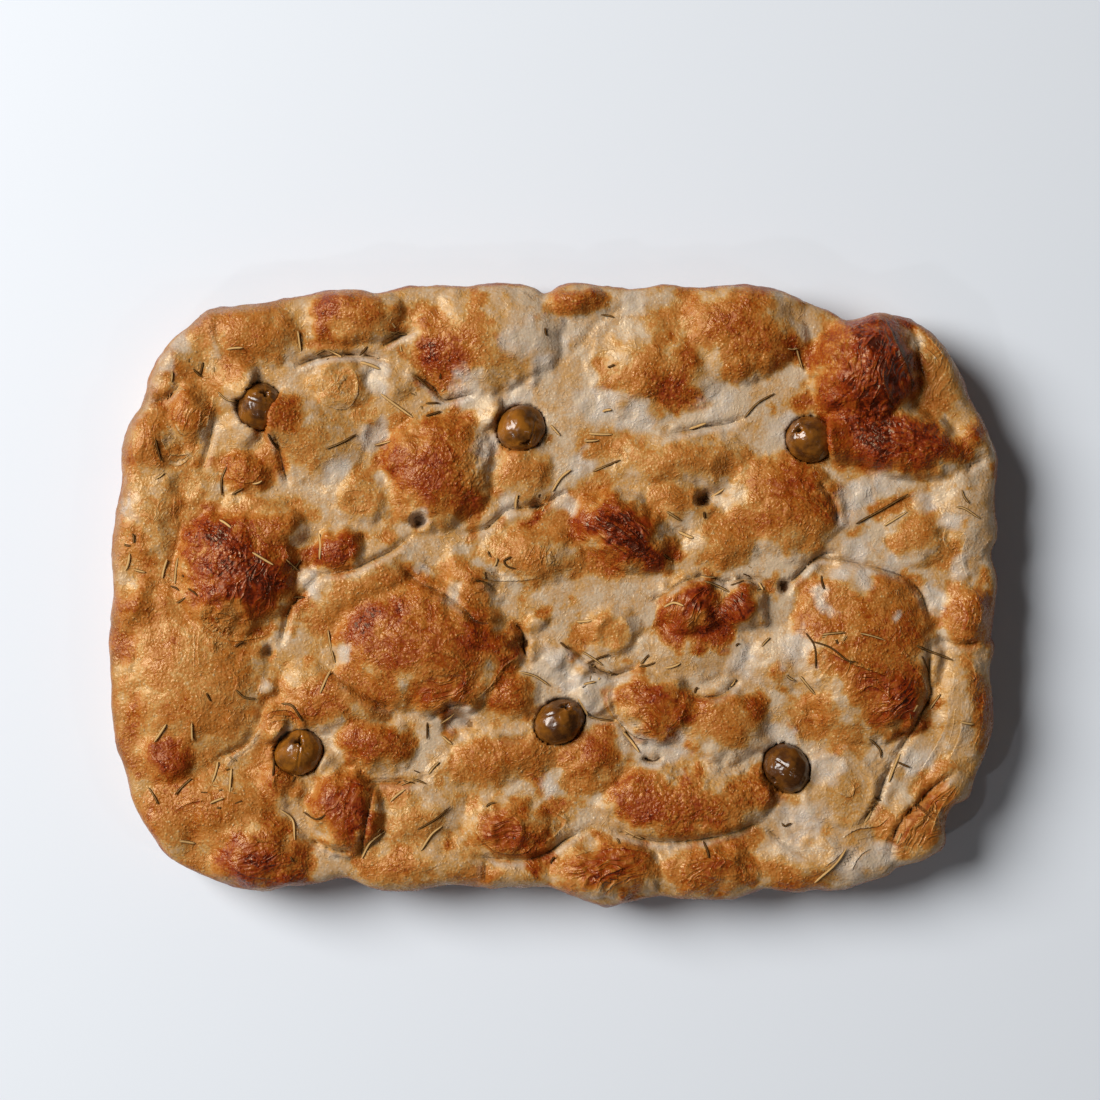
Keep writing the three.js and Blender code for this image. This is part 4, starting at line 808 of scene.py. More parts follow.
            share = smooth(-0.5, 0.9, back) * np.exp(-(np.clip(back, 0, None) / run) ** 2 - (v / half) ** 4)
            height += np.clip(lap - height, 0, None) * share
        height = np.maximum(height, CRUST_MIN)
        strength, along, across = self.folds(x, y)
        fields = {"bake": bake, "pale": pale, "crease_side": side, "crease_shade_strength": dark,
                  "herbs": herbs, "fold": strength, "fold_along": along, "fold_across": across,
                  "granular": self.granular(x, y), "pleat_side": pleat_side, "pleat_height": stands}
        return height, fields

    def pockets(self, x, y, height):
        """Sinks the dough under each olive, so that a dark gap runs round it."""
        for (_, turn, stretch, *_), olive in zip(OLIVES, self.olives):
            u, v = turned(x, y, olive.x, olive.y, turn)
            half_long, half_short = OLIVE_RADIUS * stretch, OLIVE_RADIUS / math.sqrt(stretch)
            d = np.hypot(u / half_long, v / half_short)
            gap = 0.03 + 0.06 * self.grain(x, y, 7) + 0.04 * self.fine(x, y, 2.5)
            cap = olive.z + OLIVE_RADIUS * np.sqrt(np.clip(1 - d ** 2, 0, 1))
            bottom = olive.z - (OLIVE_RADIUS + 0.5) * np.sqrt(np.clip(1.0 - (d / (1 + gap)) ** 2, 0, 1))
            inside = (d < 1 + gap) & (height < cap + 0.4)
            height = np.where(inside, np.minimum(height, bottom), height)
        return height


def crust_rings(edge_count, stations_at, stations_out, reach):
    """Rows of places from the core's edge to the foot: the places of each row, its lift angles and its row kind."""
    rows = []
    for k in range(1, BAND_ROWS + 1):
        inset = reach + (SHOULDER_RUN - reach) * k / BAND_ROWS
        rows.append((inset, np.full(edge_count, math.pi / 2), 0.0))
    for k in range(1, SHOULDER_ROWS + 1):
        lift = math.pi / 2 * (1 - k / SHOULDER_ROWS)
        inset = np.full(edge_count, SHOULDER_RUN * (1 - max(math.cos(lift), 0) ** CRISPNESS))
        rows.append((inset, np.full(edge_count, lift), k / SHOULDER_ROWS))
    for k in range(1, FOOT_ROWS + 1):
        drop = math.pi / 2 * k / FOOT_ROWS
        inset = np.full(edge_count, FOOT_INSET * (1 - math.cos(drop)))
        rows.append((inset, np.full(edge_count, -drop), 1 + k / FOOT_ROWS))
    places = [stations_at + stations_out * (reach - inset)[:, None] for inset, _, _ in rows]
    return places, [row[1] for row in rows], [row[2] for row in rows]


def build_crust(settings):
    """The bread as one closed mesh, with the fields that its material reads."""
    crust = Crust(settings)
    grid = np.array([[core_place(i, j) for j in range(CELLS_ACROSS + 1)] for i in range(CELLS_ALONG + 1)])
    number = np.arange((CELLS_ALONG + 1) * (CELLS_ACROSS + 1)).reshape(CELLS_ALONG + 1, CELLS_ACROSS + 1)
    quads = [np.stack([number[:-1, :-1], number[1:, :-1], number[1:, 1:], number[:-1, 1:]], -1).reshape(-1, 4)]
    half = CELLS_ACROSS // 2
    edge = ([(CELLS_ALONG, j) for j in range(half, CELLS_ACROSS)]
            + [(i, CELLS_ACROSS) for i in range(CELLS_ALONG, 0, -1)]
            + [(0, j) for j in range(CELLS_ACROSS, 0, -1)]
            + [(i, 0) for i in range(CELLS_ALONG)]
            + [(CELLS_ALONG, j) for j in range(half)])
    frames = [rounded_rectangle(LOAF_LENGTH / 2 - CORE_INSET, LOAF_WIDTH / 2 - CORE_INSET, CORE_CORNER,
                                share_round(i, j)[1]) for i, j in edge]
    at, out = np.array([f[0] for f in frames]), np.array([f[1] for f in frames])
    reach = distance_to_rim(rim_line(), at, out)
    places, lifts, kinds = crust_rings(len(edge), at, out, reach)
    flat = np.vstack([grid.reshape(-1, 2)] + places)
    x, y = flat[:, 0].copy(), flat[:, 1].copy()
    core = grid.shape[0] * grid.shape[1]
    lift = np.concatenate([np.full(core, math.pi / 2)] + lifts)
    kind = np.concatenate([np.zeros(core)] + [np.full(len(edge), k) for k in kinds])
    outward = np.vstack([np.zeros((core, 2))] + [out] * len(places))
    crust.creases.snap(x, y, kind == 0)
    spread = np.where(kind > 1, (kind - 1) * 18 + 12, np.where(kind > 0, kind * 12, 0))
    ux, uy = x + outward[:, 0] * spread, y + outward[:, 1] * spread
    height, fields = crust.height(x, y)
    top = crust.pockets(x, y, height)
    z = np.where(lift >= 0, WIDEST_HEIGHT + (top - WIDEST_HEIGHT) * np.sin(np.clip(lift, 0, None)) ** CRISPNESS,
                 WIDEST_HEIGHT * (1 + np.sin(np.clip(lift, None, 0))))
    wall = smooth(0.35, 1.0, kind) * smooth(2.0, 1.7, kind)
    swell = wall * (0.9 * crust.grain.cloud(ux, uy, 15, 3) + 0.25 * crust.fine.cloud(ux, uy, 3.4, 2) - 0.5)
    x, y = x + outward[:, 0] * swell, y + outward[:, 1] * swell
    pan = smooth(0.36, 0.66, kind)
    side_bake_and_shade = 0.56 + 0.2 * crust.grain.cloud(ux, uy, 17) + 0.14 * crust.fine.cloud(ux, uy, 5, 3)
    # Partly pan browning, partly painted shadow: the band at the widest line darkens the outline under the overhang
    side_bake_and_shade += 0.16 * smooth(0.55, 0.8, kind) * smooth(1.3, 1.0, kind) + 0.1 * smooth(1.5, 1.9, kind)
    # Painted shade along the west rim and shoulder: browner, greyer and darker colour stands in for the shade the rim
    # falls into
    west_rim_shade = smooth(-0.02, 0.5, kind) * smooth(0.15, 0.9, outward @ np.array([-0.91, 0.41]))
    fields["bake"] = (fields["bake"] + 0.08 * west_rim_shade) * (1 - pan) + side_bake_and_shade * pan
    fields["pale"] = np.maximum(fields["pale"], 0.55 * west_rim_shade * smooth(-40, 20, y)) * (1 - pan)
    fields["crease_shade_strength"] = fields["crease_shade_strength"] * (1 - smooth(0.5, 1.0, kind))
    fields["rim"] = west_rim_shade * (1 + 0.7 * crust.fine.cloud(x, y, 7, 4))
    for key in ("rim", "fold", "granular", "pleat_height"):
        fields[key] = fields[key] * smooth(1.0, 0.7, kind)
    fields["herbs"] = fields["herbs"] * (kind < 0.3)
    points = np.column_stack([x, y, z])
    previous = np.array([number[i, j] for i, j in edge])
    for row in range(len(places)):
        current = core + row * len(edge) + np.arange(len(edge))
        quads.append(np.stack([previous, current, np.roll(current, -1), np.roll(previous, -1)], -1))
        previous = current
    foot = points[previous]
    base_fields = {key: value[previous] for key, value in fields.items()}
    for share in BASE_RINGS:
        current = len(points) + np.arange(len(edge))
        ring = foot * np.array([share, share, 0.0])
        points = np.vstack([points, ring])
        fields = {key: np.concatenate([value, base_fields[key]]) for key, value in fields.items()}
        quads.append(np.stack([previous, current, np.roll(current, -1), np.roll(previous, -1)], -1))
        previous = current
    centre = len(points)
    points = np.vstack([points, [[0.0, 0.0, 0.0]]])
    fields = {key: np.concatenate([value, value[-1:]]) for key, value in fields.items()}
    fan = [(a, b, centre) for a, b in zip(previous, np.roll(previous, -1))][::1]
    fan = [(int(b), int(a), int(c)) if False else (int(a), int(c), int(b)) for a, b, c in fan]
    faces = [tuple(int(n) for n in q) for q in np.vstack(quads)] + fan
    return points, faces, fields


def mesh_object(name, points_mm, faces, fields=None):
    """An object at the origin whose mesh is placed in metres, with a value for each point in each field."""
    mesh = bpy.data.meshes.new(name)
    mesh.from_pydata((np.asarray(points_mm) * MM).tolist(), [], faces)
    mesh.update()
    for key, values in (fields or {}).items():
        attribute = mesh.attributes.new(key, "FLOAT", "POINT")
        attribute.data.foreach_set("value", np.asarray(values, np.float32))
    mesh.polygons.foreach_set("use_smooth", np.ones(len(mesh.polygons), bool))
    made = bpy.data.objects.new(name, mesh)
    bpy.context.scene.collection.objects.link(made)
    return made


def add(tree, kind, inputs=None, stops=None, **settings):
    """Adds a node with its settings and links. A socket as a value is linked, anything else is set."""
    made = tree.nodes.new(kind)
    for key, value in settings.items():
        setattr(made, key, value)
    for key, value in (inputs or {}).items():
        if isinstance(value, bpy.types.NodeSocket):
            tree.links.new(value, made.inputs[key])
        else:
            made.inputs[key].default_value = value
    for k, (place, colour) in enumerate(stops or []):
        element = made.color_ramp.elements[k] if k < 2 else made.color_ramp.elements.new(place)
        element.position = place
        element.color = colour
    return made


def new_material(name):
    """An empty material and its node tree."""
    material = bpy.data.materials.new(name)
    material.use_nodes = True
    material.node_tree.nodes.clear()
    return material, material.node_tree


def crust_material(settings):
    """Oven-baked wheat crust, brushed with olive oil: blotchy and granular where it browned, with a thin
    oily gloss, and finely mottled where the dough stayed pale. Shade in creases, holes and at the west
    rim, and highlights on wrinkle crests, pleats and flecks, are painted into the colour."""
    material, tree = new_material("oven_baked_wheat_crust")
    place = add(tree, "ShaderNodeTexCoord").outputs["Object"]
    bake = add(tree, "ShaderNodeAttribute", attribute_name="bake").outputs["Fac"]
    pale = add(tree, "ShaderNodeAttribute", attribute_name="pale").outputs["Fac"]
    side = add(tree, "ShaderNodeAttribute", attribute_name="crease_side").outputs["Fac"]
    dark = add(tree, "ShaderNodeAttribute", attribute_name="crease_shade_strength").outputs["Fac"]
    # rim: where the painted shade of the west rim lies
    rim = add(tree, "ShaderNodeAttribute", attribute_name="rim").outputs["Fac"]
    granular = add(tree, "ShaderNodeAttribute", attribute_name="granular").outputs["Fac"]
    pleat_side = add(tree, "ShaderNodeAttribute", attribute_name="pleat_side").outputs["Fac"]
    stands = add(tree, "ShaderNodeAttribute", attribute_name="pleat_height").outputs["Fac"]
    wrinkled = add(tree, "ShaderNodeAttribute", attribute_name="fold").outputs["Fac"]
    along = add(tree, "ShaderNodeAttribute", attribute_name="fold_along").outputs["Fac"]
    across = add(tree, "ShaderNodeAttribute", attribute_name="fold_across").outputs["Fac"]

    def mottle(size_mm, detail, roughness, distortion):
        found = add(tree, "ShaderNodeTexNoise", {"Vector": place, "Scale": 1 / (size_mm * MM), "Detail": detail,
                                                "Roughness": roughness, "Distortion": distortion})
        return found.outputs["Fac"]

    def work(operation, *values, clamp=False):
        made = add(tree, "ShaderNodeMath", dict(enumerate(values)), operation=operation, use_clamp=clamp)
        return made.outputs[0]

    def spread(value, low, high, start, end):
        made = add(tree, "ShaderNodeMapRange", {"Value": value, 1: low, 2: high, 3: start, 4: end})
        return made.outputs["Result"]

    def blend(factor, first, second):
        return add(tree, "ShaderNodeMix", {"Factor": factor, 6: first, 7: second}, data_type="RGBA").outputs[2]

    blotch = mottle(7.0, 3.0, 0.58, 1.1)
    curl = mottle(2.4, 1.0, 0.5, 1.0)
    fold = mottle(5.2, 1.0, 0.5, 1.6)
    grit = mottle(0.9, 1.0, 0.6, 0.0)
    lie = add(tree, "ShaderNodeCombineXYZ", {"X": along, "Y": across}).outputs[0]
    pleat = add(tree, "ShaderNodeTexNoise", {"Vector": lie, "Scale": 1.0, "Detail": 1.5, "Roughness": 0.5,
                                             "Distortion": 0.4}).outputs["Fac"]
    crest = spread(work("ABSOLUTE", work("SUBTRACT", pleat, 0.5)), 0.12, 0.0, 0.0, 1.0)
    wrinkled = work("MULTIPLY", wrinkled, spread(bake, 0.3, 0.65, 0.35, 1.0))
    wander = add(tree, "ShaderNodeVectorMath", {0: place, 1: add(tree, "ShaderNodeVectorMath", {
        0: add(tree, "ShaderNodeTexNoise", {"Vector": place, "Scale": 1 / (3.0 * MM)}).outputs["Color"],
        1: (0.8 * MM, 0.8 * MM, 0.8 * MM)}, operation="MULTIPLY").outputs[0]}, operation="ADD").outputs[0]
    beads = add(tree, "ShaderNodeTexVoronoi", {"Vector": wander, "Scale": 1 / (1.8 * MM), "Randomness": 1.0},
                feature="F1")
    grains = add(tree, "ShaderNodeTexVoronoi", {"Vector": wander, "Scale": 1 / (1.15 * MM), "Randomness": 1.0},
                 feature="F1")
    shine = add(tree, "ShaderNodeSeparateColor", {"Color": grains.outputs["Color"]}).outputs["Green"]
    chance = add(tree, "ShaderNodeSeparateColor", {"Color": beads.outputs["Color"]}).outputs["Red"]
    browned = spread(bake, 0.22, 0.55, 0.4, 1.0)
    sleek = spread(wrinkled, 0.25, 0.75, 1.0, 0.35)
    sandy = work("MULTIPLY", browned, sleek)
    away = work("MULTIPLY_ADD", work("SUBTRACT", grit, 0.5), 0.8, pleat_side)
    # Painted highlight on the gentle side of each raised fold and painted shadow at its steep foot; the gentle side
    # also raises the bump
    pleat_crest_and_highlight = work("MULTIPLY", work("MULTIPLY", spread(away, -1.6, -0.1, 0.0, 1.0), spread(away, 0.35, 0.0, 0.0, 1.0)), stands)
    foot = work("MULTIPLY", work("MULTIPLY", spread(away, 0.0, 0.4, 0.0, 1.0), spread(away, 1.6, 0.5, 0.0, 1.0)), stands)
    calm = spread(bake, 0.2, 0.6, 0.4, 0.56)
    ridges = work("ABSOLUTE", work("SUBTRACT", fold, 0.5))
    lines = work("MULTIPLY", spread(ridges, 0.04, 0.0, 0.0, 1.0), spread(blotch, 0.48, 0.6, 0.0, 1.0))
    swing = work("MULTIPLY_ADD", work("SUBTRACT", blotch, 0.5), calm, bake)
    swing = work("MULTIPLY_ADD", work("MULTIPLY", work("SUBTRACT", curl, 0.5), browned), 0.28, swing)
    swing = work("MULTIPLY_ADD", work("MULTIPLY", work("SUBTRACT", grit, 0.5), sandy), 0.45, swing)
    # Light specks on grain tops: partly lighter blister skin, partly painted highlight; they also raise the bump
    dot = work("MULTIPLY", spread(grains.outputs["Distance"], 0.5, 0.2, 0.0, 1.0), spread(shine, 0.62, 0.9, 0.0, 1.0))
    swing = work("MULTIPLY_ADD", work("MULTIPLY", dot, sandy), -0.14, swing)
    pit = work("MULTIPLY", spread(grains.outputs["Distance"], 0.5, 0.2, 0.0, 1.0), spread(shine, 0.35, 0.1, 0.0, 1.0))
    swing = work("MULTIPLY_ADD", work("MULTIPLY", pit, sandy), 0.12, swing)
    # Lighter grain centres and darker grain edges: partly thin blister skin, partly painted highlight and painted
    # shade
    swing = work("MULTIPLY_ADD", work("MULTIPLY", work("SUBTRACT", grains.outputs["Distance"], 0.45), browned), 0.1,
                 swing)
    # Painted highlight: lighter colour along the crests of wrinkles and fold lines, which also raise the bump
    swing = work("MULTIPLY_ADD", work("MULTIPLY", work("SUBTRACT", crest, 0.4), wrinkled), -0.2, swing)
    swing = work("MULTIPLY_ADD", work("MULTIPLY", lines, browned), -0.14, swing)
    # Lighter bead tops and darker gaps between the beads: partly thin blister skin, partly painted highlight and
    # painted shade
    between = spread(beads.outputs["Distance"], 0.1, 0.6, -0.10, 0.06)
    # Lighter for the painted pleat highlight, darker for the painted pleat shadow
    swing = work("MULTIPLY_ADD", foot, 0.14, work("MULTIPLY_ADD", pleat_crest_and_highlight, -0.08, swing))
    level = work("MULTIPLY_ADD", between, granular, swing)
    level = work("MULTIPLY_ADD", work("SINE", work("MULTIPLY", level, 25.13)), -0.012, level)
    tone = add(tree, "ShaderNodeValToRGB", {"Fac": level}, stops=[
        (0.0, settings.dough), (1.0, settings.charred), (0.12, settings.dough), (0.22, settings.cream),
        (0.31, settings.straw), (0.41, settings.golden), (0.55, settings.amber), (0.70, settings.chestnut),
        (0.85, settings.mahogany), (0.95, settings.umber),
    ]).outputs["Color"]
    bead = work("MULTIPLY", spread(beads.outputs["Distance"], 0.42, 0.12, 0.0, 1.0),
                spread(chance, 0.45, 0.75, 0.0, 1.0))
    # Flecks on the tiny blisters: partly lighter blister skin, partly painted highlight
    fleck_and_highlight = work("MULTIPLY", work("MULTIPLY", bead, spread(fold, 0.42, 0.6, 0.0, 1.0)), browned)
    fleck_and_highlight = work("MULTIPLY", fleck_and_highlight, spread(bake, 0.7, 0.95, 0.5, 0.12))
    flecked = blend(work("MULTIPLY", fleck_and_highlight, granular), tone, settings.fleck_and_highlight)
    damp = work("MULTIPLY_ADD", work("SUBTRACT", curl, 0.5), 0.5, pale)
    moist = blend(work("MULTIPLY", spread(damp, 0.15, 0.9, 0.0, 0.75), spread(blotch, 0.38, 0.6, 0.25, 1.0)), flecked,
                  settings.wet_dough)
    # Painted shade in creases and holes: a thin dark line and a soft shade either side of it
    offset = work("MULTIPLY_ADD", work("SUBTRACT", grit, 0.5), 0.9, work("ABSOLUTE", side))
    line = work("MULTIPLY", spread(offset, 0.6, 0.05, 0.0, 0.9), spread(blotch, 0.42, 0.6, 0.15, 1.0))
    shade = spread(work("ABSOLUTE", side), 2.0, 0.2, 0.0, 0.25)
    seam = work("MULTIPLY", work("ADD", line, shade), dark, clamp=True)
    beside = work("MULTIPLY", spread(side, 0.6, 1.6, 0.0, 0.5), spread(side, 3.6, 2.0, 0.0, 1.0))
    beside = work("MULTIPLY", beside, spread(bake, 0.3, 0.55, 1.0, 0.0))
    folded = blend(work("MULTIPLY", beside, dark), moist, settings.wet_dough)
    # Blends toward the painted rim shade, then toward the painted crease shade
    colour = blend(seam, blend(work("MULTIPLY", rim, 0.5, clamp=True), folded, settings.painted_rim_shade), settings.seam)
    curls = work("ABSOLUTE", work("SUBTRACT", curl, 0.5))
    raised = spread(bake, 0.25, 0.65, 0.55, 1.0)
    relief = work("MULTIPLY_ADD", curls, -0.24, work("MULTIPLY", ridges, -0.52))
    relief = work("MULTIPLY_ADD", grains.outputs["Distance"], -0.22, relief)
    relief = work("MULTIPLY", work("MULTIPLY_ADD", grit, 0.26, relief), work("MULTIPLY", raised, sleek))
    relief = work("MULTIPLY_ADD", beads.outputs["Distance"], work("MULTIPLY", granular, -0.65), relief)
    relief = work("MULTIPLY_ADD", work("MULTIPLY", crest, wrinkled), 0.6, relief)
    relief = work("MULTIPLY_ADD", work("MULTIPLY", dot, sandy), 0.16, relief)
    relief = work("MULTIPLY_ADD", pleat_crest_and_highlight, 0.7, relief)
    relief = work("MULTIPLY_ADD", work("MULTIPLY", lines, raised), 0.25, relief)
    bump = add(tree, "ShaderNodeBump", {"Strength": 1.0, "Distance": settings.wrinkling * MM, "Height": relief})
    shader = add(tree, "ShaderNodeBsdfPrincipled", {
        "Base Color": colour, "Roughness": spread(fold, 0.42, 0.62, 0.44, 0.26), "Normal": bump.outputs["Normal"],
        "Specular IOR Level": 0.5, "Specular Tint": (1.0, 0.8, 0.52, 1.0), "IOR": 1.45,
        "Subsurface Weight": 0.08, "Subsurface Scale": 1.2 * MM, "Subsurface Radius": (1.0, 0.55, 0.3),
    })
    add(tree, "ShaderNodeOutputMaterial", {"Surface": shader.outputs["BSDF"]})
    return material


class FocacciaCrustSettings(bpy.types.PropertyGroup):
    """The bread's relief and the colours of its crust, from raw dough to char."""

    seed: IntProperty(name="Seed", description="Draw of the random relief", default=11)
    blister_count: IntProperty(name="Small blisters", description="Small blisters strewn over the crust",
                               default=520, min=0)
    blister_size: FloatProperty(name="Blister size", description="Largest radius of a small blister, in mm",
                                default=3.6, min=1.5)
    wrinkling: FloatProperty(name="Wrinkling", description="Depth of the skin's fine folds, in mm",
                             default=0.8, min=0)
    wet_dough: FloatVectorProperty(name="Wet dough", description="Thin or moist dough", size=4,
                                   subtype="COLOR", default=linear("c4b9ae"))
    # Painted shade: the grey-brown colour of the shaded west rim
    painted_rim_shade: FloatVectorProperty(name="Rim dough", description="Brown dough of the left rim", size=4,
                                   subtype="COLOR", default=linear("80582f"))
    dough: FloatVectorProperty(name="Pale dough", description="Barely coloured dough", size=4,
                               subtype="COLOR", default=linear("bea68a"))
    cream: FloatVectorProperty(name="Cream", description="Warm dough", size=4,
                               subtype="COLOR", default=linear("b8946c"))
    straw: FloatVectorProperty(name="Straw", description="First colour of the bake", size=4,
                               subtype="COLOR", default=linear("b48548"))
    golden: FloatVectorProperty(name="Golden", description="Golden crust", size=4,
                                subtype="COLOR", default=linear("ae7235"))
    amber: FloatVectorProperty(name="Amber", description="Amber crust", size=4,
                               subtype="COLOR", default=linear("a35f20"))
    chestnut: FloatVectorProperty(name="Chestnut", description="Browned crust", size=4,
                                  subtype="COLOR", default=linear("90440f"))
    mahogany: FloatVectorProperty(name="Mahogany", description="Dark brown crust", size=4,
                                  subtype="COLOR", default=linear("822c09"))
    umber: FloatVectorProperty(name="Umber", description="Almost charred crust", size=4,
                               subtype="COLOR", default=linear("661d07"))
    charred: FloatVectorProperty(name="Charred", description="Charred tops of the bubbles", size=4,
                                 subtype="COLOR", default=linear("451204"))
    # Partly the lighter skin of tiny blisters, partly painted highlight on them
    fleck_and_highlight: FloatVectorProperty(name="Flecks", description="Tiny light blisters in browned crust", size=4,
                               subtype="COLOR", default=linear("d69d55"))
    # Painted shade: colour of the dark line and soft shade in creases and holes
    seam: FloatVectorProperty(name="Seams", description="Dark line at the bottom of a crease", size=4,
                              subtype="COLOR", default=linear("4a2c16"))


class FocacciaOliveSettings(bpy.types.PropertyGroup):
    """The finish of the olives."""

    skin: FloatVectorProperty(name="Skin", description="Baked green-brown olive skin", size=4,
                              subtype="COLOR", default=linear("8c5618"))
    shade: FloatVectorProperty(name="Dark skin", description="Darker blotches of the skin", size=4,
                               subtype="COLOR", default=linear("4c2b0f"))
    # Painted shade: the dark inside of the pit hole
    hole: FloatVectorProperty(name="Pit hole", description="Inside the hole of the stone", size=4,
                              subtype="COLOR", default=linear("1c1006"))
    wrinkle: FloatProperty(name="Wrinkle depth", description="Depth of the skin's wrinkles, in mm",
                           default=0.3, min=0)


class FocacciaRosemarySettings(bpy.types.PropertyGroup):
    """The size and colours of the rosemary."""

    width: FloatProperty(name="Needle width", description="Width of a needle in mm", default=0.98, min=0.2)
    flatness: FloatProperty(name="Flatness", description="Thickness as a share of width", default=0.7,
                            subtype="FACTOR", min=0.1, max=1)
    groove: FloatProperty(name="Groove", description="Depth of the middle groove as a share of half the width",
                          default=0.35, subtype="FACTOR", min=0, max=1)
    bit_density: FloatProperty(name="Bits", description="Broken bits for each square metre where they gather",
                               default=26000, min=0)
    seed: IntProperty(name="Seed", description="Draw of the scattered bits", default=5)
    straw: FloatVectorProperty(name="Straw", description="Dry, light needle", size=4,
                               subtype="COLOR", default=linear("c8a068"))
    olive: FloatVectorProperty(name="Leaf", description="Brown-green needle", size=4,
                               subtype="COLOR", default=linear("694822"))
    burnt: FloatVectorProperty(name="Burnt", description="Burnt needle", size=4,
                               subtype="COLOR", default=linear("26140a"))


class FocacciaStageSettings(bpy.types.PropertyGroup):
    """The floor, the lights and the camera."""

    floor: FloatVectorProperty(name="Floor", description="Pale matt floor", size=4,
                               subtype="COLOR", default=linear("dfe5ef"))
    key_power: FloatProperty(name="Key light", description="Power of the large light, in watts",
                             default=92.0, min=0)
    fill: FloatProperty(name="Fill", description="Strength of the light from all round", default=0.035, min=0)
    lens: FloatProperty(name="Lens", description="Focal length in mm", default=95.4, min=10)


class FOCACCIA_OT_crust(bpy.types.Operator):
    """Makes the bread with its bubbles, creases and browned crust"""

    bl_idname = "focaccia.crust"
    bl_label = "Make the crust"

    def execute(self, context):
        settings = context.scene.focaccia_crust
        crust = mesh_object("focaccia_crust", *build_crust(settings))
        crust.data.materials.append(crust_material(settings))
        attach(crust, BODY)
        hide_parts("bread")
        return {"FINISHED"}


def olive_mesh(olive, centre, wrinkle, seed):
    """An olive as rings round the axis of its pit hole: a plump oval with a dent, a fold and fine wrinkles."""
    _, turn, stretch, facing, dent_facing, dent, fold_normal, fold_offset, ripe = olive
    rings, sides = 60, 104
    axis, hollow, fold = (Vector(way).normalized() for way in (facing, dent_facing, fold_normal))
    a = math.radians(turn)
    long_axis, short_axis = Vector((math.cos(a), math.sin(a), 0)), Vector((-math.sin(a), math.cos(a), 0))
    half = Vector((OLIVE_RADIUS * stretch, OLIVE_RADIUS / math.sqrt(stretch), OLIVE_RADIUS * 0.95))
    pole = Vector((axis @ long_axis / half.x, axis @ short_axis / half.y, axis.z / half.z)).normalized()
    side_a = pole.orthogonal().normalized()
    side_b = pole.cross(side_a)
    points, holes, ripeness = [], [], []
    for k, polar in enumerate(np.linspace(0, 1, rings) ** 1.35 * math.pi):
        for n in range(1 if k in (0, rings - 1) else sides):
            around = 2 * math.pi * n / sides
            unit = (pole * math.cos(polar)
                    + (side_a * math.cos(around) + side_b * math.sin(around)) * math.sin(polar))
            torn = 1 + 0.28 * math.cos(3 * around + seed) + 0.12 * math.cos(5 * around + 2 * seed)
            away = polar * OLIVE_RADIUS
            hole = math.exp(-(away / (1.2 * torn)) ** 4)
            p = long_axis * unit.x * half.x + short_axis * unit.y * half.y + Vector((0, 0, unit.z * half.z))
            way = p.normalized()
            lumps = noise.fractal(p / 4.2 + Vector((seed * 7.3, 0, 0)), 0.6, 2.0, 3)
            relief = wrinkle * lumps + 0.22 * math.exp(-((away - 2.3 * torn) / 0.8) ** 2) - 3.4 * hole
            relief -= 0.5 * math.exp(-(away / 3.6) ** 2) + dent * math.exp(-((1 - way @ hollow) / 0.16) ** 2)
            bent = (way @ fold - fold_offset + 0.06 * math.sin(5 * way.z)) / 0.035
            relief += (0.10 * math.exp(-((abs(bent) - 2.6) / 1.2) ** 2) - 0.34 * math.exp(-bent ** 2)) * max(way.z, 0)
            points.append(centre + p + way * relief)
            holes.append(hole)
            ripeness.append(ripe + 0.35 * noise.noise(p / 7 + Vector((0, seed * 5.1, 0))))
    faces = []
    last = len(points) - 1
    for n in range(sides):
        m = (n + 1) % sides
        faces.append((0, 1 + n, 1 + m))
        faces.append((last, last - sides + m, last - sides + n))
    for k in range(rings - 3):
        for n in range(sides):
            m = (n + 1) % sides
            row = 1 + k * sides
            faces.append((row + n, row + sides + n, row + sides + m, row + m))
    return [tuple(p) for p in points], faces, {"hole": holes, "ripeness": ripeness}


def olive_material(settings):
    """Cured green olive, baked whole: a brown-green waxy skin, slack and oily, so that it mirrors the lights.
    The dark inside of the pit hole is painted shade.
    """
    material, tree = new_material("baked_green_olive_skin")
    place = add(tree, "ShaderNodeTexCoord").outputs["Object"]
    hole = add(tree, "ShaderNodeAttribute", attribute_name="hole").outputs["Fac"]
    blotch = add(tree, "ShaderNodeTexNoise", {"Vector": place, "Scale": 1 / (4.5 * MM), "Detail": 3.0})
    speck = add(tree, "ShaderNodeTexNoise", {"Vector": place, "Scale": 1 / (0.8 * MM), "Detail": 2.0})
    ripe = add(tree, "ShaderNodeAttribute", attribute_name="ripeness").outputs["Fac"]
    mottle = add(tree, "ShaderNodeMapRange", {"Value": blotch.outputs["Fac"], 1: 0.42, 2: 0.74})
    depth = add(tree, "ShaderNodeMath", {0: mottle.outputs["Result"], 1: ripe}, operation="ADD", use_clamp=True)
    skin = add(tree, "ShaderNodeMix", {"Factor": depth.outputs[0], 6: settings.skin, 7: settings.shade},
               data_type="RGBA")
    # Painted shade inside the pit hole
    colour = add(tree, "ShaderNodeMix", {"Factor": hole, 6: skin.outputs[2], 7: settings.hole}, data_type="RGBA")
    roughness = add(tree, "ShaderNodeMapRange", {"Value": blotch.outputs["Fac"], 1: 0.3, 2: 0.7, 3: 0.16, 4: 0.3})
    bump = add(tree, "ShaderNodeBump", {"Strength": 0.25, "Distance": 0.2 * MM, "Height": speck.outputs["Fac"]})
    shader = add(tree, "ShaderNodeBsdfPrincipled", {
        "Base Color": colour.outputs[2], "Roughness": roughness.outputs["Result"],
        "Normal": bump.outputs["Normal"], "IOR": 1.46, "Coat Weight": 0.3, "Coat Roughness": 0.06,
        "Subsurface Weight": 0.06, "Subsurface Scale": 1.5 * MM, "Subsurface Radius": (1.0, 0.6, 0.2),
    })
    add(tree, "ShaderNodeOutputMaterial", {"Surface": shader.outputs["BSDF"]})
    return material


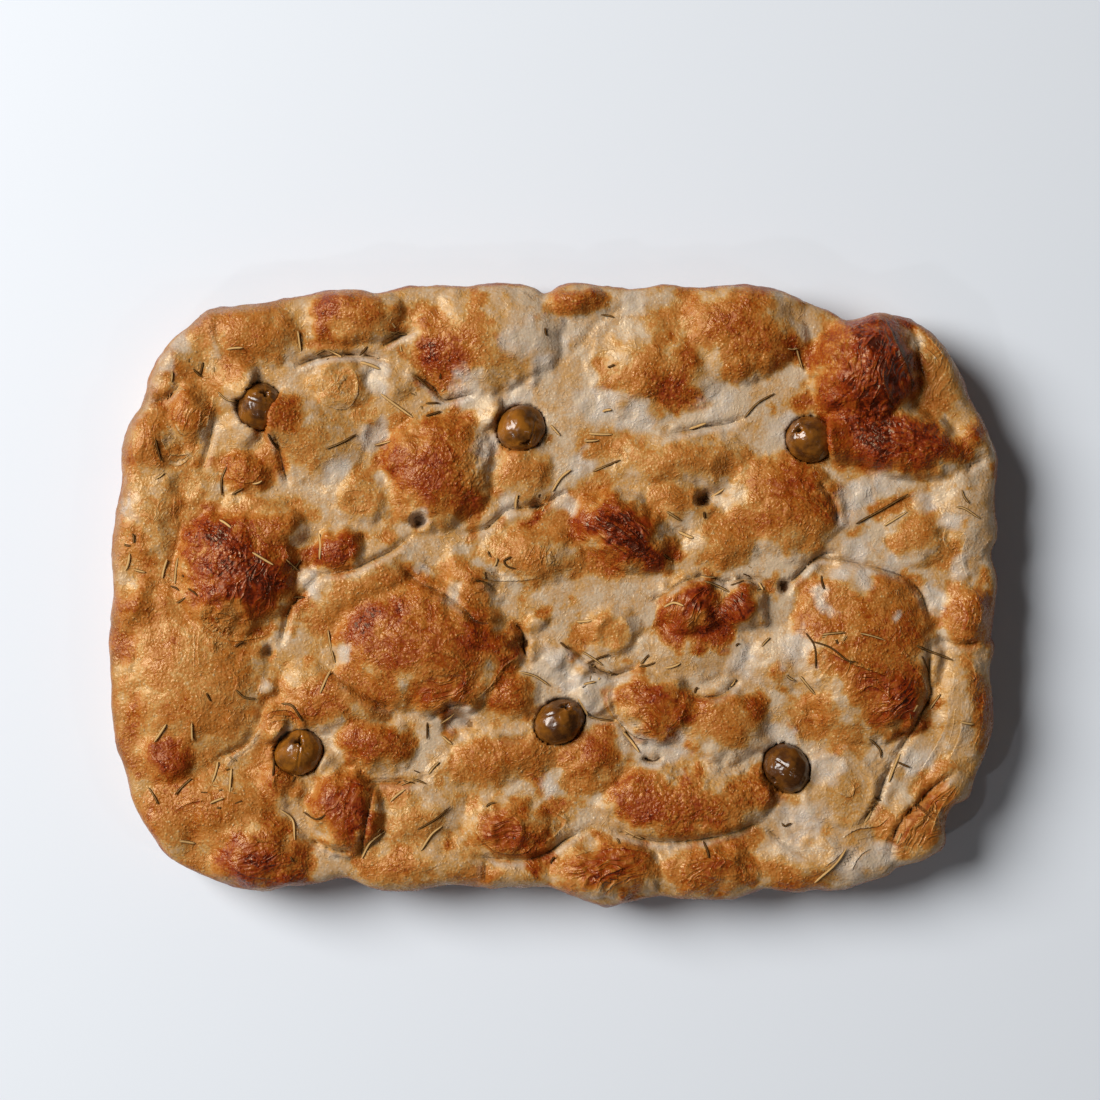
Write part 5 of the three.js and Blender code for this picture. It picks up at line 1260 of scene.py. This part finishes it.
class FOCACCIA_OT_olives(bpy.types.Operator):
    """Makes the whole pitted olives in their dimples"""

    bl_idname = "focaccia.olives"
    bl_label = "Make the olives"

    def execute(self, context):
        settings = context.scene.focaccia_olives
        material = olive_material(settings)
        for k, (olive, centre) in enumerate(zip(OLIVES, olive_places())):
            made = mesh_object("whole_" + olive[0], *olive_mesh(olive, centre, settings.wrinkle, k + 3))
            made.data.materials.append(material)
            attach(made, BODY)
            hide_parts(olive[0])
        return {"FINISHED"}


def needle_material(settings):
    """Dried rosemary leaf: rolled dark edges, a lighter middle, dull and slightly oily."""
    material, tree = new_material("oven_dried_rosemary_leaf")
    tone = add(tree, "ShaderNodeAttribute", attribute_name="tone").outputs["Fac"]
    across = add(tree, "ShaderNodeAttribute", attribute_name="across").outputs["Fac"]
    place = add(tree, "ShaderNodeTexCoord").outputs["Object"]
    mottle = add(tree, "ShaderNodeTexNoise", {"Vector": place, "Scale": 1 / (1.6 * MM), "Detail": 2.0})
    edge = add(tree, "ShaderNodeMath", {0: across}, operation="ABSOLUTE")
    rim = add(tree, "ShaderNodeMapRange", {"Value": edge.outputs[0], 1: 0.35, 2: 0.7, 3: -0.12, 4: 0.42})
    noise = add(tree, "ShaderNodeMath", {0: mottle.outputs["Fac"], 1: 0.3, 2: -0.15}, operation="MULTIPLY_ADD")
    darker = add(tree, "ShaderNodeMath", {0: rim.outputs["Result"], 1: noise.outputs[0]}, operation="ADD")
    baked = add(tree, "ShaderNodeMapRange", {"Value": tone, 1: 0.35, 2: 0.95, 3: 0.0, 4: 0.75})
    level = add(tree, "ShaderNodeMath", {0: darker.outputs[0], 1: baked.outputs["Result"]}, operation="ADD",
                use_clamp=True)
    colour = add(tree, "ShaderNodeValToRGB", {"Fac": level.outputs[0]}, stops=[
        (0.1, settings.straw), (0.95, settings.burnt), (0.5, settings.olive)])
    bump = add(tree, "ShaderNodeBump", {"Strength": 0.4, "Distance": 0.15 * MM, "Height": mottle.outputs["Fac"]})
    shader = add(tree, "ShaderNodeBsdfPrincipled", {
        "Base Color": colour.outputs["Color"], "Roughness": 0.6,
        "Specular IOR Level": 0.04, "Normal": bump.outputs["Normal"], "IOR": 1.45})
    add(tree, "ShaderNodeOutputMaterial", {"Surface": shader.outputs["BSDF"]})
    return material


def tree_socket(tree, name, kind, default=None, in_out="INPUT"):
    """Adds a named input or output to a node tree and returns it."""
    made = tree.interface.new_socket(name=name, in_out=in_out, socket_type=kind)
    if default is not None:
        made.default_value = default
    return made


def plain_copy(source, tree, values, name):
    """Runs a geometry tree on an object and returns the result as a plain mesh object at the origin."""
    modifier = source.modifiers.new(tree.name, "NODES")
    modifier.node_group = tree
    for item in tree.interface.items_tree:
        if item.in_out == "INPUT" and item.name in values:
            modifier[item.identifier] = values[item.name]
    bpy.context.view_layer.update()
    evaluated = source.evaluated_get(bpy.context.evaluated_depsgraph_get())
    mesh = bpy.data.meshes.new_from_object(evaluated)
    mesh.name = name
    source.modifiers.remove(modifier)
    made = bpy.data.objects.new(name, mesh)
    bpy.context.scene.collection.objects.link(made)
    return made


def needle_section(tree, flatness, groove):
    """The section of a leaf, half a unit wide each way: flat, with a groove along the middle of its top."""
    ring = add(tree, "GeometryNodeCurvePrimitiveCircle", {"Resolution": 10, "Radius": 1.0})
    spot = add(tree, "ShaderNodeSeparateXYZ", {0: add(tree, "GeometryNodeInputPosition").outputs[0]})
    kept = add(tree, "GeometryNodeStoreNamedAttribute",
               {"Geometry": ring.outputs["Curve"], "Name": "across", "Value": spot.outputs["X"]},
               data_type="FLOAT", domain="POINT")
    squared = add(tree, "ShaderNodeMath", {0: spot.outputs["X"], 1: spot.outputs["X"]}, operation="MULTIPLY")
    inner = add(tree, "ShaderNodeMath", {0: 1.0, 1: squared.outputs[0]}, operation="SUBTRACT")
    upper = add(tree, "ShaderNodeMath", {0: spot.outputs["Y"], 1: 0.1}, operation="GREATER_THAN")
    dip = add(tree, "ShaderNodeMath", {0: inner.outputs[0], 1: upper.outputs[0]}, operation="MULTIPLY")
    dip = add(tree, "ShaderNodeMath", {0: dip.outputs[0], 1: groove}, operation="MULTIPLY")
    flat = add(tree, "ShaderNodeMath", {0: spot.outputs["Y"], 1: flatness}, operation="MULTIPLY")
    high = add(tree, "ShaderNodeMath", {0: flat.outputs[0], 1: dip.outputs[0]}, operation="SUBTRACT")
    shape = add(tree, "ShaderNodeCombineXYZ", {"X": spot.outputs["X"], "Y": high.outputs[0]})
    return add(tree, "GeometryNodeSetPosition", {"Geometry": kept.outputs["Geometry"],
                                                 "Position": shape.outputs[0]}).outputs["Geometry"]


def needle_tree(material):
    """Geometry tree that gives every line of points a leaf's section, tapered as its half_width says."""
    tree = bpy.data.node_groups.new("rosemary_needles", "GeometryNodeTree")
    tree_socket(tree, "Lines", "NodeSocketGeometry")
    tree_socket(tree, "Flatness", "NodeSocketFloat", 0.7)
    tree_socket(tree, "Groove", "NodeSocketFloat", 0.35)
    tree_socket(tree, "Needles", "NodeSocketGeometry", in_out="OUTPUT")
    given = add(tree, "NodeGroupInput")
    lines = add(tree, "GeometryNodeMeshToCurve", {"Mesh": given.outputs["Lines"]})
    level = add(tree, "GeometryNodeSetCurveNormal", {"Curve": lines.outputs["Curve"]}, mode="Z_UP")
    width = add(tree, "GeometryNodeInputNamedAttribute", {"Name": "half_width"}, data_type="FLOAT")
    section = needle_section(tree, given.outputs["Flatness"], given.outputs["Groove"])
    body = add(tree, "GeometryNodeCurveToMesh", {"Curve": level.outputs["Curve"], "Profile Curve": section,
                                                 "Scale": width.outputs["Attribute"], "Fill Caps": True})
    real = add(tree, "GeometryNodeRealizeInstances", {"Geometry": body.outputs["Mesh"]})
    done = add(tree, "GeometryNodeSetMaterial", {"Geometry": real.outputs["Geometry"], "Material": material})
    add(tree, "NodeGroupOutput", {"Needles": done.outputs["Geometry"]})
    return tree


def needle_lines(settings, surface):
    """Every needle as a line of points that lies on the crust, with its half-width and tone at each point."""
    draw = np.random.default_rng(settings.seed)
    points, edges, widths, tones = [], [], [], []
    for tone, route in NEEDLES:
        line = smooth_line(route, 0.9)
        if len(line) < 5:
            line = smooth_line(route, 0.4)
        bend = draw.uniform(-0.35, 0.35)
        share = np.linspace(0, 1, len(line))
        across = np.array([-(line[-1] - line[0])[1], (line[-1] - line[0])[0]])
        line = line + across / np.linalg.norm(across) * (bend * np.sin(np.pi * share))[:, None]
        ground = np.array([surface(x, y) for x, y in line])
        rest = np.convolve(np.pad(ground, 2, "edge"), np.ones(5) / 5, "valid")
        height = np.maximum(rest, ground - 0.25) + 0.12 + draw.uniform(0, 0.25)
        height += draw.uniform(0, 0.7) * share ** 3 + draw.uniform(0, 0.4) * (1 - share) ** 3
        half = settings.width / 2 * draw.uniform(0.85, 1.1) * (1.3 - 0.5 * tone)
        taper = np.clip(np.minimum(share * 7, (1 - share) * 4.5) + 0.22, 0, 1) ** 0.6
        start = len(points)
        points += [tuple(p) for p in np.column_stack([line, height])]
        edges += [(start + k, start + k + 1) for k in range(len(line) - 1)]
        widths += list(half * MM * taper)
        tones += list(np.clip(tone + 0.25 * (share - 0.6) * draw.uniform(0, 1), 0, 1))
    return points, edges, widths, tones


def top_of(crust):
    """A function that gives the crust's height in millimetres at a place."""
    vertices = [v.co for v in crust.data.vertices]
    tree = BVHTree.FromPolygons(vertices, [tuple(p.vertices) for p in crust.data.polygons])

    def surface(x, y):
        hit = tree.ray_cast(Vector((x * MM, y * MM, 0.2)), Vector((0, 0, -1)))[0]
        return hit.z / MM if hit else DOUGH_LEVEL

    return surface


class FOCACCIA_OT_needles(bpy.types.Operator):
    """Lays the whole rosemary needles on the crust"""

    bl_idname = "focaccia.needles"
    bl_label = "Lay the needles"

    def execute(self, context):
        settings = context.scene.focaccia_rosemary
        points, edges, widths, tones = needle_lines(settings, top_of(bpy.data.objects["focaccia_crust"]))
        mesh = bpy.data.meshes.new("needle_lines")
        mesh.from_pydata((np.array(points) * MM).tolist(), edges, [])
        for key, values in (("half_width", widths), ("tone", tones)):
            mesh.attributes.new(key, "FLOAT", "POINT").data.foreach_set("value", np.array(values, np.float32))
        lines = bpy.data.objects.new("needle_lines", mesh)
        context.scene.collection.objects.link(lines)
        material = needle_material(settings)
        needles = plain_copy(lines, needle_tree(material), {"Flatness": settings.flatness,
                                                            "Groove": settings.groove}, "rosemary_needles")
        bpy.data.objects.remove(lines)
        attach(needles, BODY)
        return {"FINISHED"}


def bits_tree(material):
    """Geometry tree that strews short broken bits over the crust where its herbs value is high."""
    tree = bpy.data.node_groups.new("rosemary_bits", "GeometryNodeTree")
    tree_socket(tree, "Crust", "NodeSocketGeometry")
    tree_socket(tree, "Density", "NodeSocketFloat", 26000.0)
    tree_socket(tree, "Seed", "NodeSocketInt", 5)
    tree_socket(tree, "Length", "NodeSocketFloat", 0.0024)
    tree_socket(tree, "Bits", "NodeSocketGeometry", in_out="OUTPUT")
    given = add(tree, "NodeGroupInput")
    herbs = add(tree, "GeometryNodeInputNamedAttribute", {"Name": "herbs"}, data_type="FLOAT")
    thick = add(tree, "ShaderNodeMath", {0: herbs.outputs["Attribute"], 1: given.outputs["Density"]},
                operation="MULTIPLY")
    spots = add(tree, "GeometryNodeDistributePointsOnFaces", {
        "Mesh": given.outputs["Crust"], "Density": thick.outputs[0], "Seed": given.outputs["Seed"]})
    half = add(tree, "ShaderNodeMath", {0: given.outputs["Length"], 1: 0.5}, operation="MULTIPLY")
    start = add(tree, "ShaderNodeMath", {0: half.outputs[0], 1: -1.0}, operation="MULTIPLY")
    bar = add(tree, "GeometryNodeCurvePrimitiveLine", {
        "Start": add(tree, "ShaderNodeCombineXYZ", {"X": start.outputs[0]}).outputs[0],
        "End": add(tree, "ShaderNodeCombineXYZ", {"X": half.outputs[0]}).outputs[0]})
    cut = add(tree, "GeometryNodeResampleCurve", {"Curve": bar.outputs["Curve"], "Count": 4})
    section = needle_section(tree, 0.7, 0.3)
    body = add(tree, "GeometryNodeCurveToMesh", {"Curve": cut.outputs["Curve"], "Profile Curve": section,
                                                 "Scale": 0.0004, "Fill Caps": True})
    spin = add(tree, "FunctionNodeRandomValue", {"Min": (0.0, 0.0, 0.0), "Max": (0.3, 0.3, 6.283), "Seed": 3},
               data_type="FLOAT_VECTOR")
    turn = add(tree, "FunctionNodeEulerToRotation", {0: spin.outputs[0]})
    lie = add(tree, "FunctionNodeRotateRotation", {"Rotation": spots.outputs["Rotation"],
                                                   "Rotate By": turn.outputs[0]}, rotation_space="LOCAL")
    grow = add(tree, "FunctionNodeRandomValue", {"Min": (0.35, 0.5, 0.5), "Max": (1.3, 1.15, 1.0), "Seed": 8},
               data_type="FLOAT_VECTOR")
    laid = add(tree, "GeometryNodeInstanceOnPoints", {
        "Points": spots.outputs["Points"], "Instance": body.outputs["Mesh"], "Rotation": lie.outputs["Rotation"],
        "Scale": grow.outputs[0]})
    shade = add(tree, "FunctionNodeRandomValue", {2: 0.25, 3: 1.0, "Seed": 12}, data_type="FLOAT")
    toned = add(tree, "GeometryNodeStoreNamedAttribute", {
        "Geometry": laid.outputs["Instances"], "Name": "tone", "Value": shade.outputs[1]},
        data_type="FLOAT", domain="INSTANCE")
    real = add(tree, "GeometryNodeRealizeInstances", {"Geometry": toned.outputs["Geometry"]})
    done = add(tree, "GeometryNodeSetMaterial", {"Geometry": real.outputs["Geometry"], "Material": material})
    add(tree, "NodeGroupOutput", {"Bits": done.outputs["Geometry"]})
    return tree


class FOCACCIA_OT_bits(bpy.types.Operator):
    """Strews the small broken bits of rosemary"""

    bl_idname = "focaccia.bits"
    bl_label = "Strew the bits"

    def execute(self, context):
        settings = context.scene.focaccia_rosemary
        crust = bpy.data.objects["focaccia_crust"]
        material = bpy.data.materials["oven_dried_rosemary_leaf"]
        bits = plain_copy(crust, bits_tree(material), {"Density": settings.bit_density, "Seed": settings.seed},
                          "rosemary_bits")
        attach(bits, BODY)
        return {"FINISHED"}


def area_light(name, place, target, size, power, colour):
    """A soft square light that looks at a target, with its size in metres and power in watts."""
    data = bpy.data.lights.new(name, "AREA")
    data.shape = "DISK"
    data.size = size
    data.energy = power
    data.color = colour
    lamp = bpy.data.objects.new(name, data)
    lamp.location = place
    lamp.rotation_euler = (Vector(target) - Vector(place)).to_track_quat("-Z", "Y").to_euler()
    bpy.context.scene.collection.objects.link(lamp)
    return lamp


def floor_material(settings):
    """Matt white-painted board: flat and pale, with a trace of unevenness."""
    material, tree = new_material("matt_white_board")
    place = add(tree, "ShaderNodeTexCoord").outputs["Object"]
    cloud = add(tree, "ShaderNodeTexNoise", {"Vector": place, "Scale": 1 / (90 * MM), "Detail": 2.0})
    rough = add(tree, "ShaderNodeMapRange", {"Value": cloud.outputs["Fac"], 1: 0.3, 2: 0.7, 3: 0.55, 4: 0.65})
    shader = add(tree, "ShaderNodeBsdfPrincipled", {
        "Base Color": settings.floor, "Roughness": rough.outputs["Result"], "Specular IOR Level": 0.2})
    add(tree, "ShaderNodeOutputMaterial", {"Surface": shader.outputs["BSDF"]})
    return material


class FOCACCIA_OT_stage(bpy.types.Operator):
    """Makes the floor, the soft lights and the camera straight above"""

    bl_idname = "focaccia.stage"
    bl_label = "Set the stage"

    def execute(self, context):
        settings = context.scene.focaccia_stage
        size = 3000
        floor = mesh_object("floor", [(-size, -size, 0), (size, -size, 0), (size, size, 0), (-size, size, 0)],
                            [(0, 1, 2, 3)])
        floor.data.materials.append(floor_material(settings))
        area_light("key", (-1.68, 0.74, 1.68), (0, 0, 0), 1.58, settings.key_power, (1.0, 0.98, 0.935))
        area_light("glint_left", (-0.45, -0.5, 0.85), (0, 0, 0), 0.05, settings.key_power * 0.0058, (1.0, 1.0, 1.0))
        area_light("glint_right", (0.5, -0.3, 0.85), (0, 0, 0), 0.04, settings.key_power * 0.0026, (1.0, 1.0, 1.0))
        world = bpy.data.worlds.new("studio")
        world.use_nodes = True
        world.node_tree.nodes["Background"].inputs["Color"].default_value = (1.0, 0.93, 0.84, 1.0)
        world.node_tree.nodes["Background"].inputs["Strength"].default_value = settings.fill
        context.scene.world = world
        context.scene.view_settings.view_transform = "Standard"
        data = bpy.data.cameras.new("camera")
        data.lens = settings.lens
        data.sensor_width = 36
        data.clip_start, data.clip_end = 0.01, 20
        camera = bpy.data.objects.new("camera", data)
        camera.location = (-1.3 * MM, 16.4 * MM, 1.1)
        context.scene.collection.objects.link(camera)
        context.scene.camera = camera
        return {"FINISHED"}


class FOCACCIA_PT_panel(bpy.types.Panel):
    """Lists the steps that make the focaccia"""

    bl_idname = "FOCACCIA_PT_panel"
    bl_label = "Focaccia"
    bl_space_type = "VIEW_3D"
    bl_region_type = "UI"
    bl_category = "Focaccia"

    def draw(self, context):
        for operator in OPERATORS:
            self.layout.operator(operator.bl_idname)
        for group in SETTINGS:
            owner = getattr(context.scene, group)
            for key in owner.bl_rna.properties.keys():
                if key not in ("rna_type", "name"):
                    self.layout.prop(owner, key)


SETTINGS = {
    "focaccia_crust": FocacciaCrustSettings,
    "focaccia_olives": FocacciaOliveSettings,
    "focaccia_rosemary": FocacciaRosemarySettings,
    "focaccia_stage": FocacciaStageSettings,
}
OPERATORS = [FOCACCIA_OT_stage, FOCACCIA_OT_crust, FOCACCIA_OT_olives, FOCACCIA_OT_needles, FOCACCIA_OT_bits]


def register():
    for kind in [*SETTINGS.values(), *OPERATORS, FOCACCIA_PT_panel]:
        bpy.utils.register_class(kind)
    for name, kind in SETTINGS.items():
        setattr(bpy.types.Scene, name, PointerProperty(type=kind))


def unregister():
    for name in SETTINGS:
        delattr(bpy.types.Scene, name)
    for kind in [FOCACCIA_PT_panel, *reversed(OPERATORS), *reversed(list(SETTINGS.values()))]:
        bpy.utils.unregister_class(kind)


def main():
    register()
    bpy.ops.focaccia.stage()
    bpy.ops.focaccia.crust()
    bpy.ops.focaccia.olives()
    bpy.ops.focaccia.needles()
    bpy.ops.focaccia.bits()


if __name__ == "__main__":
    main()
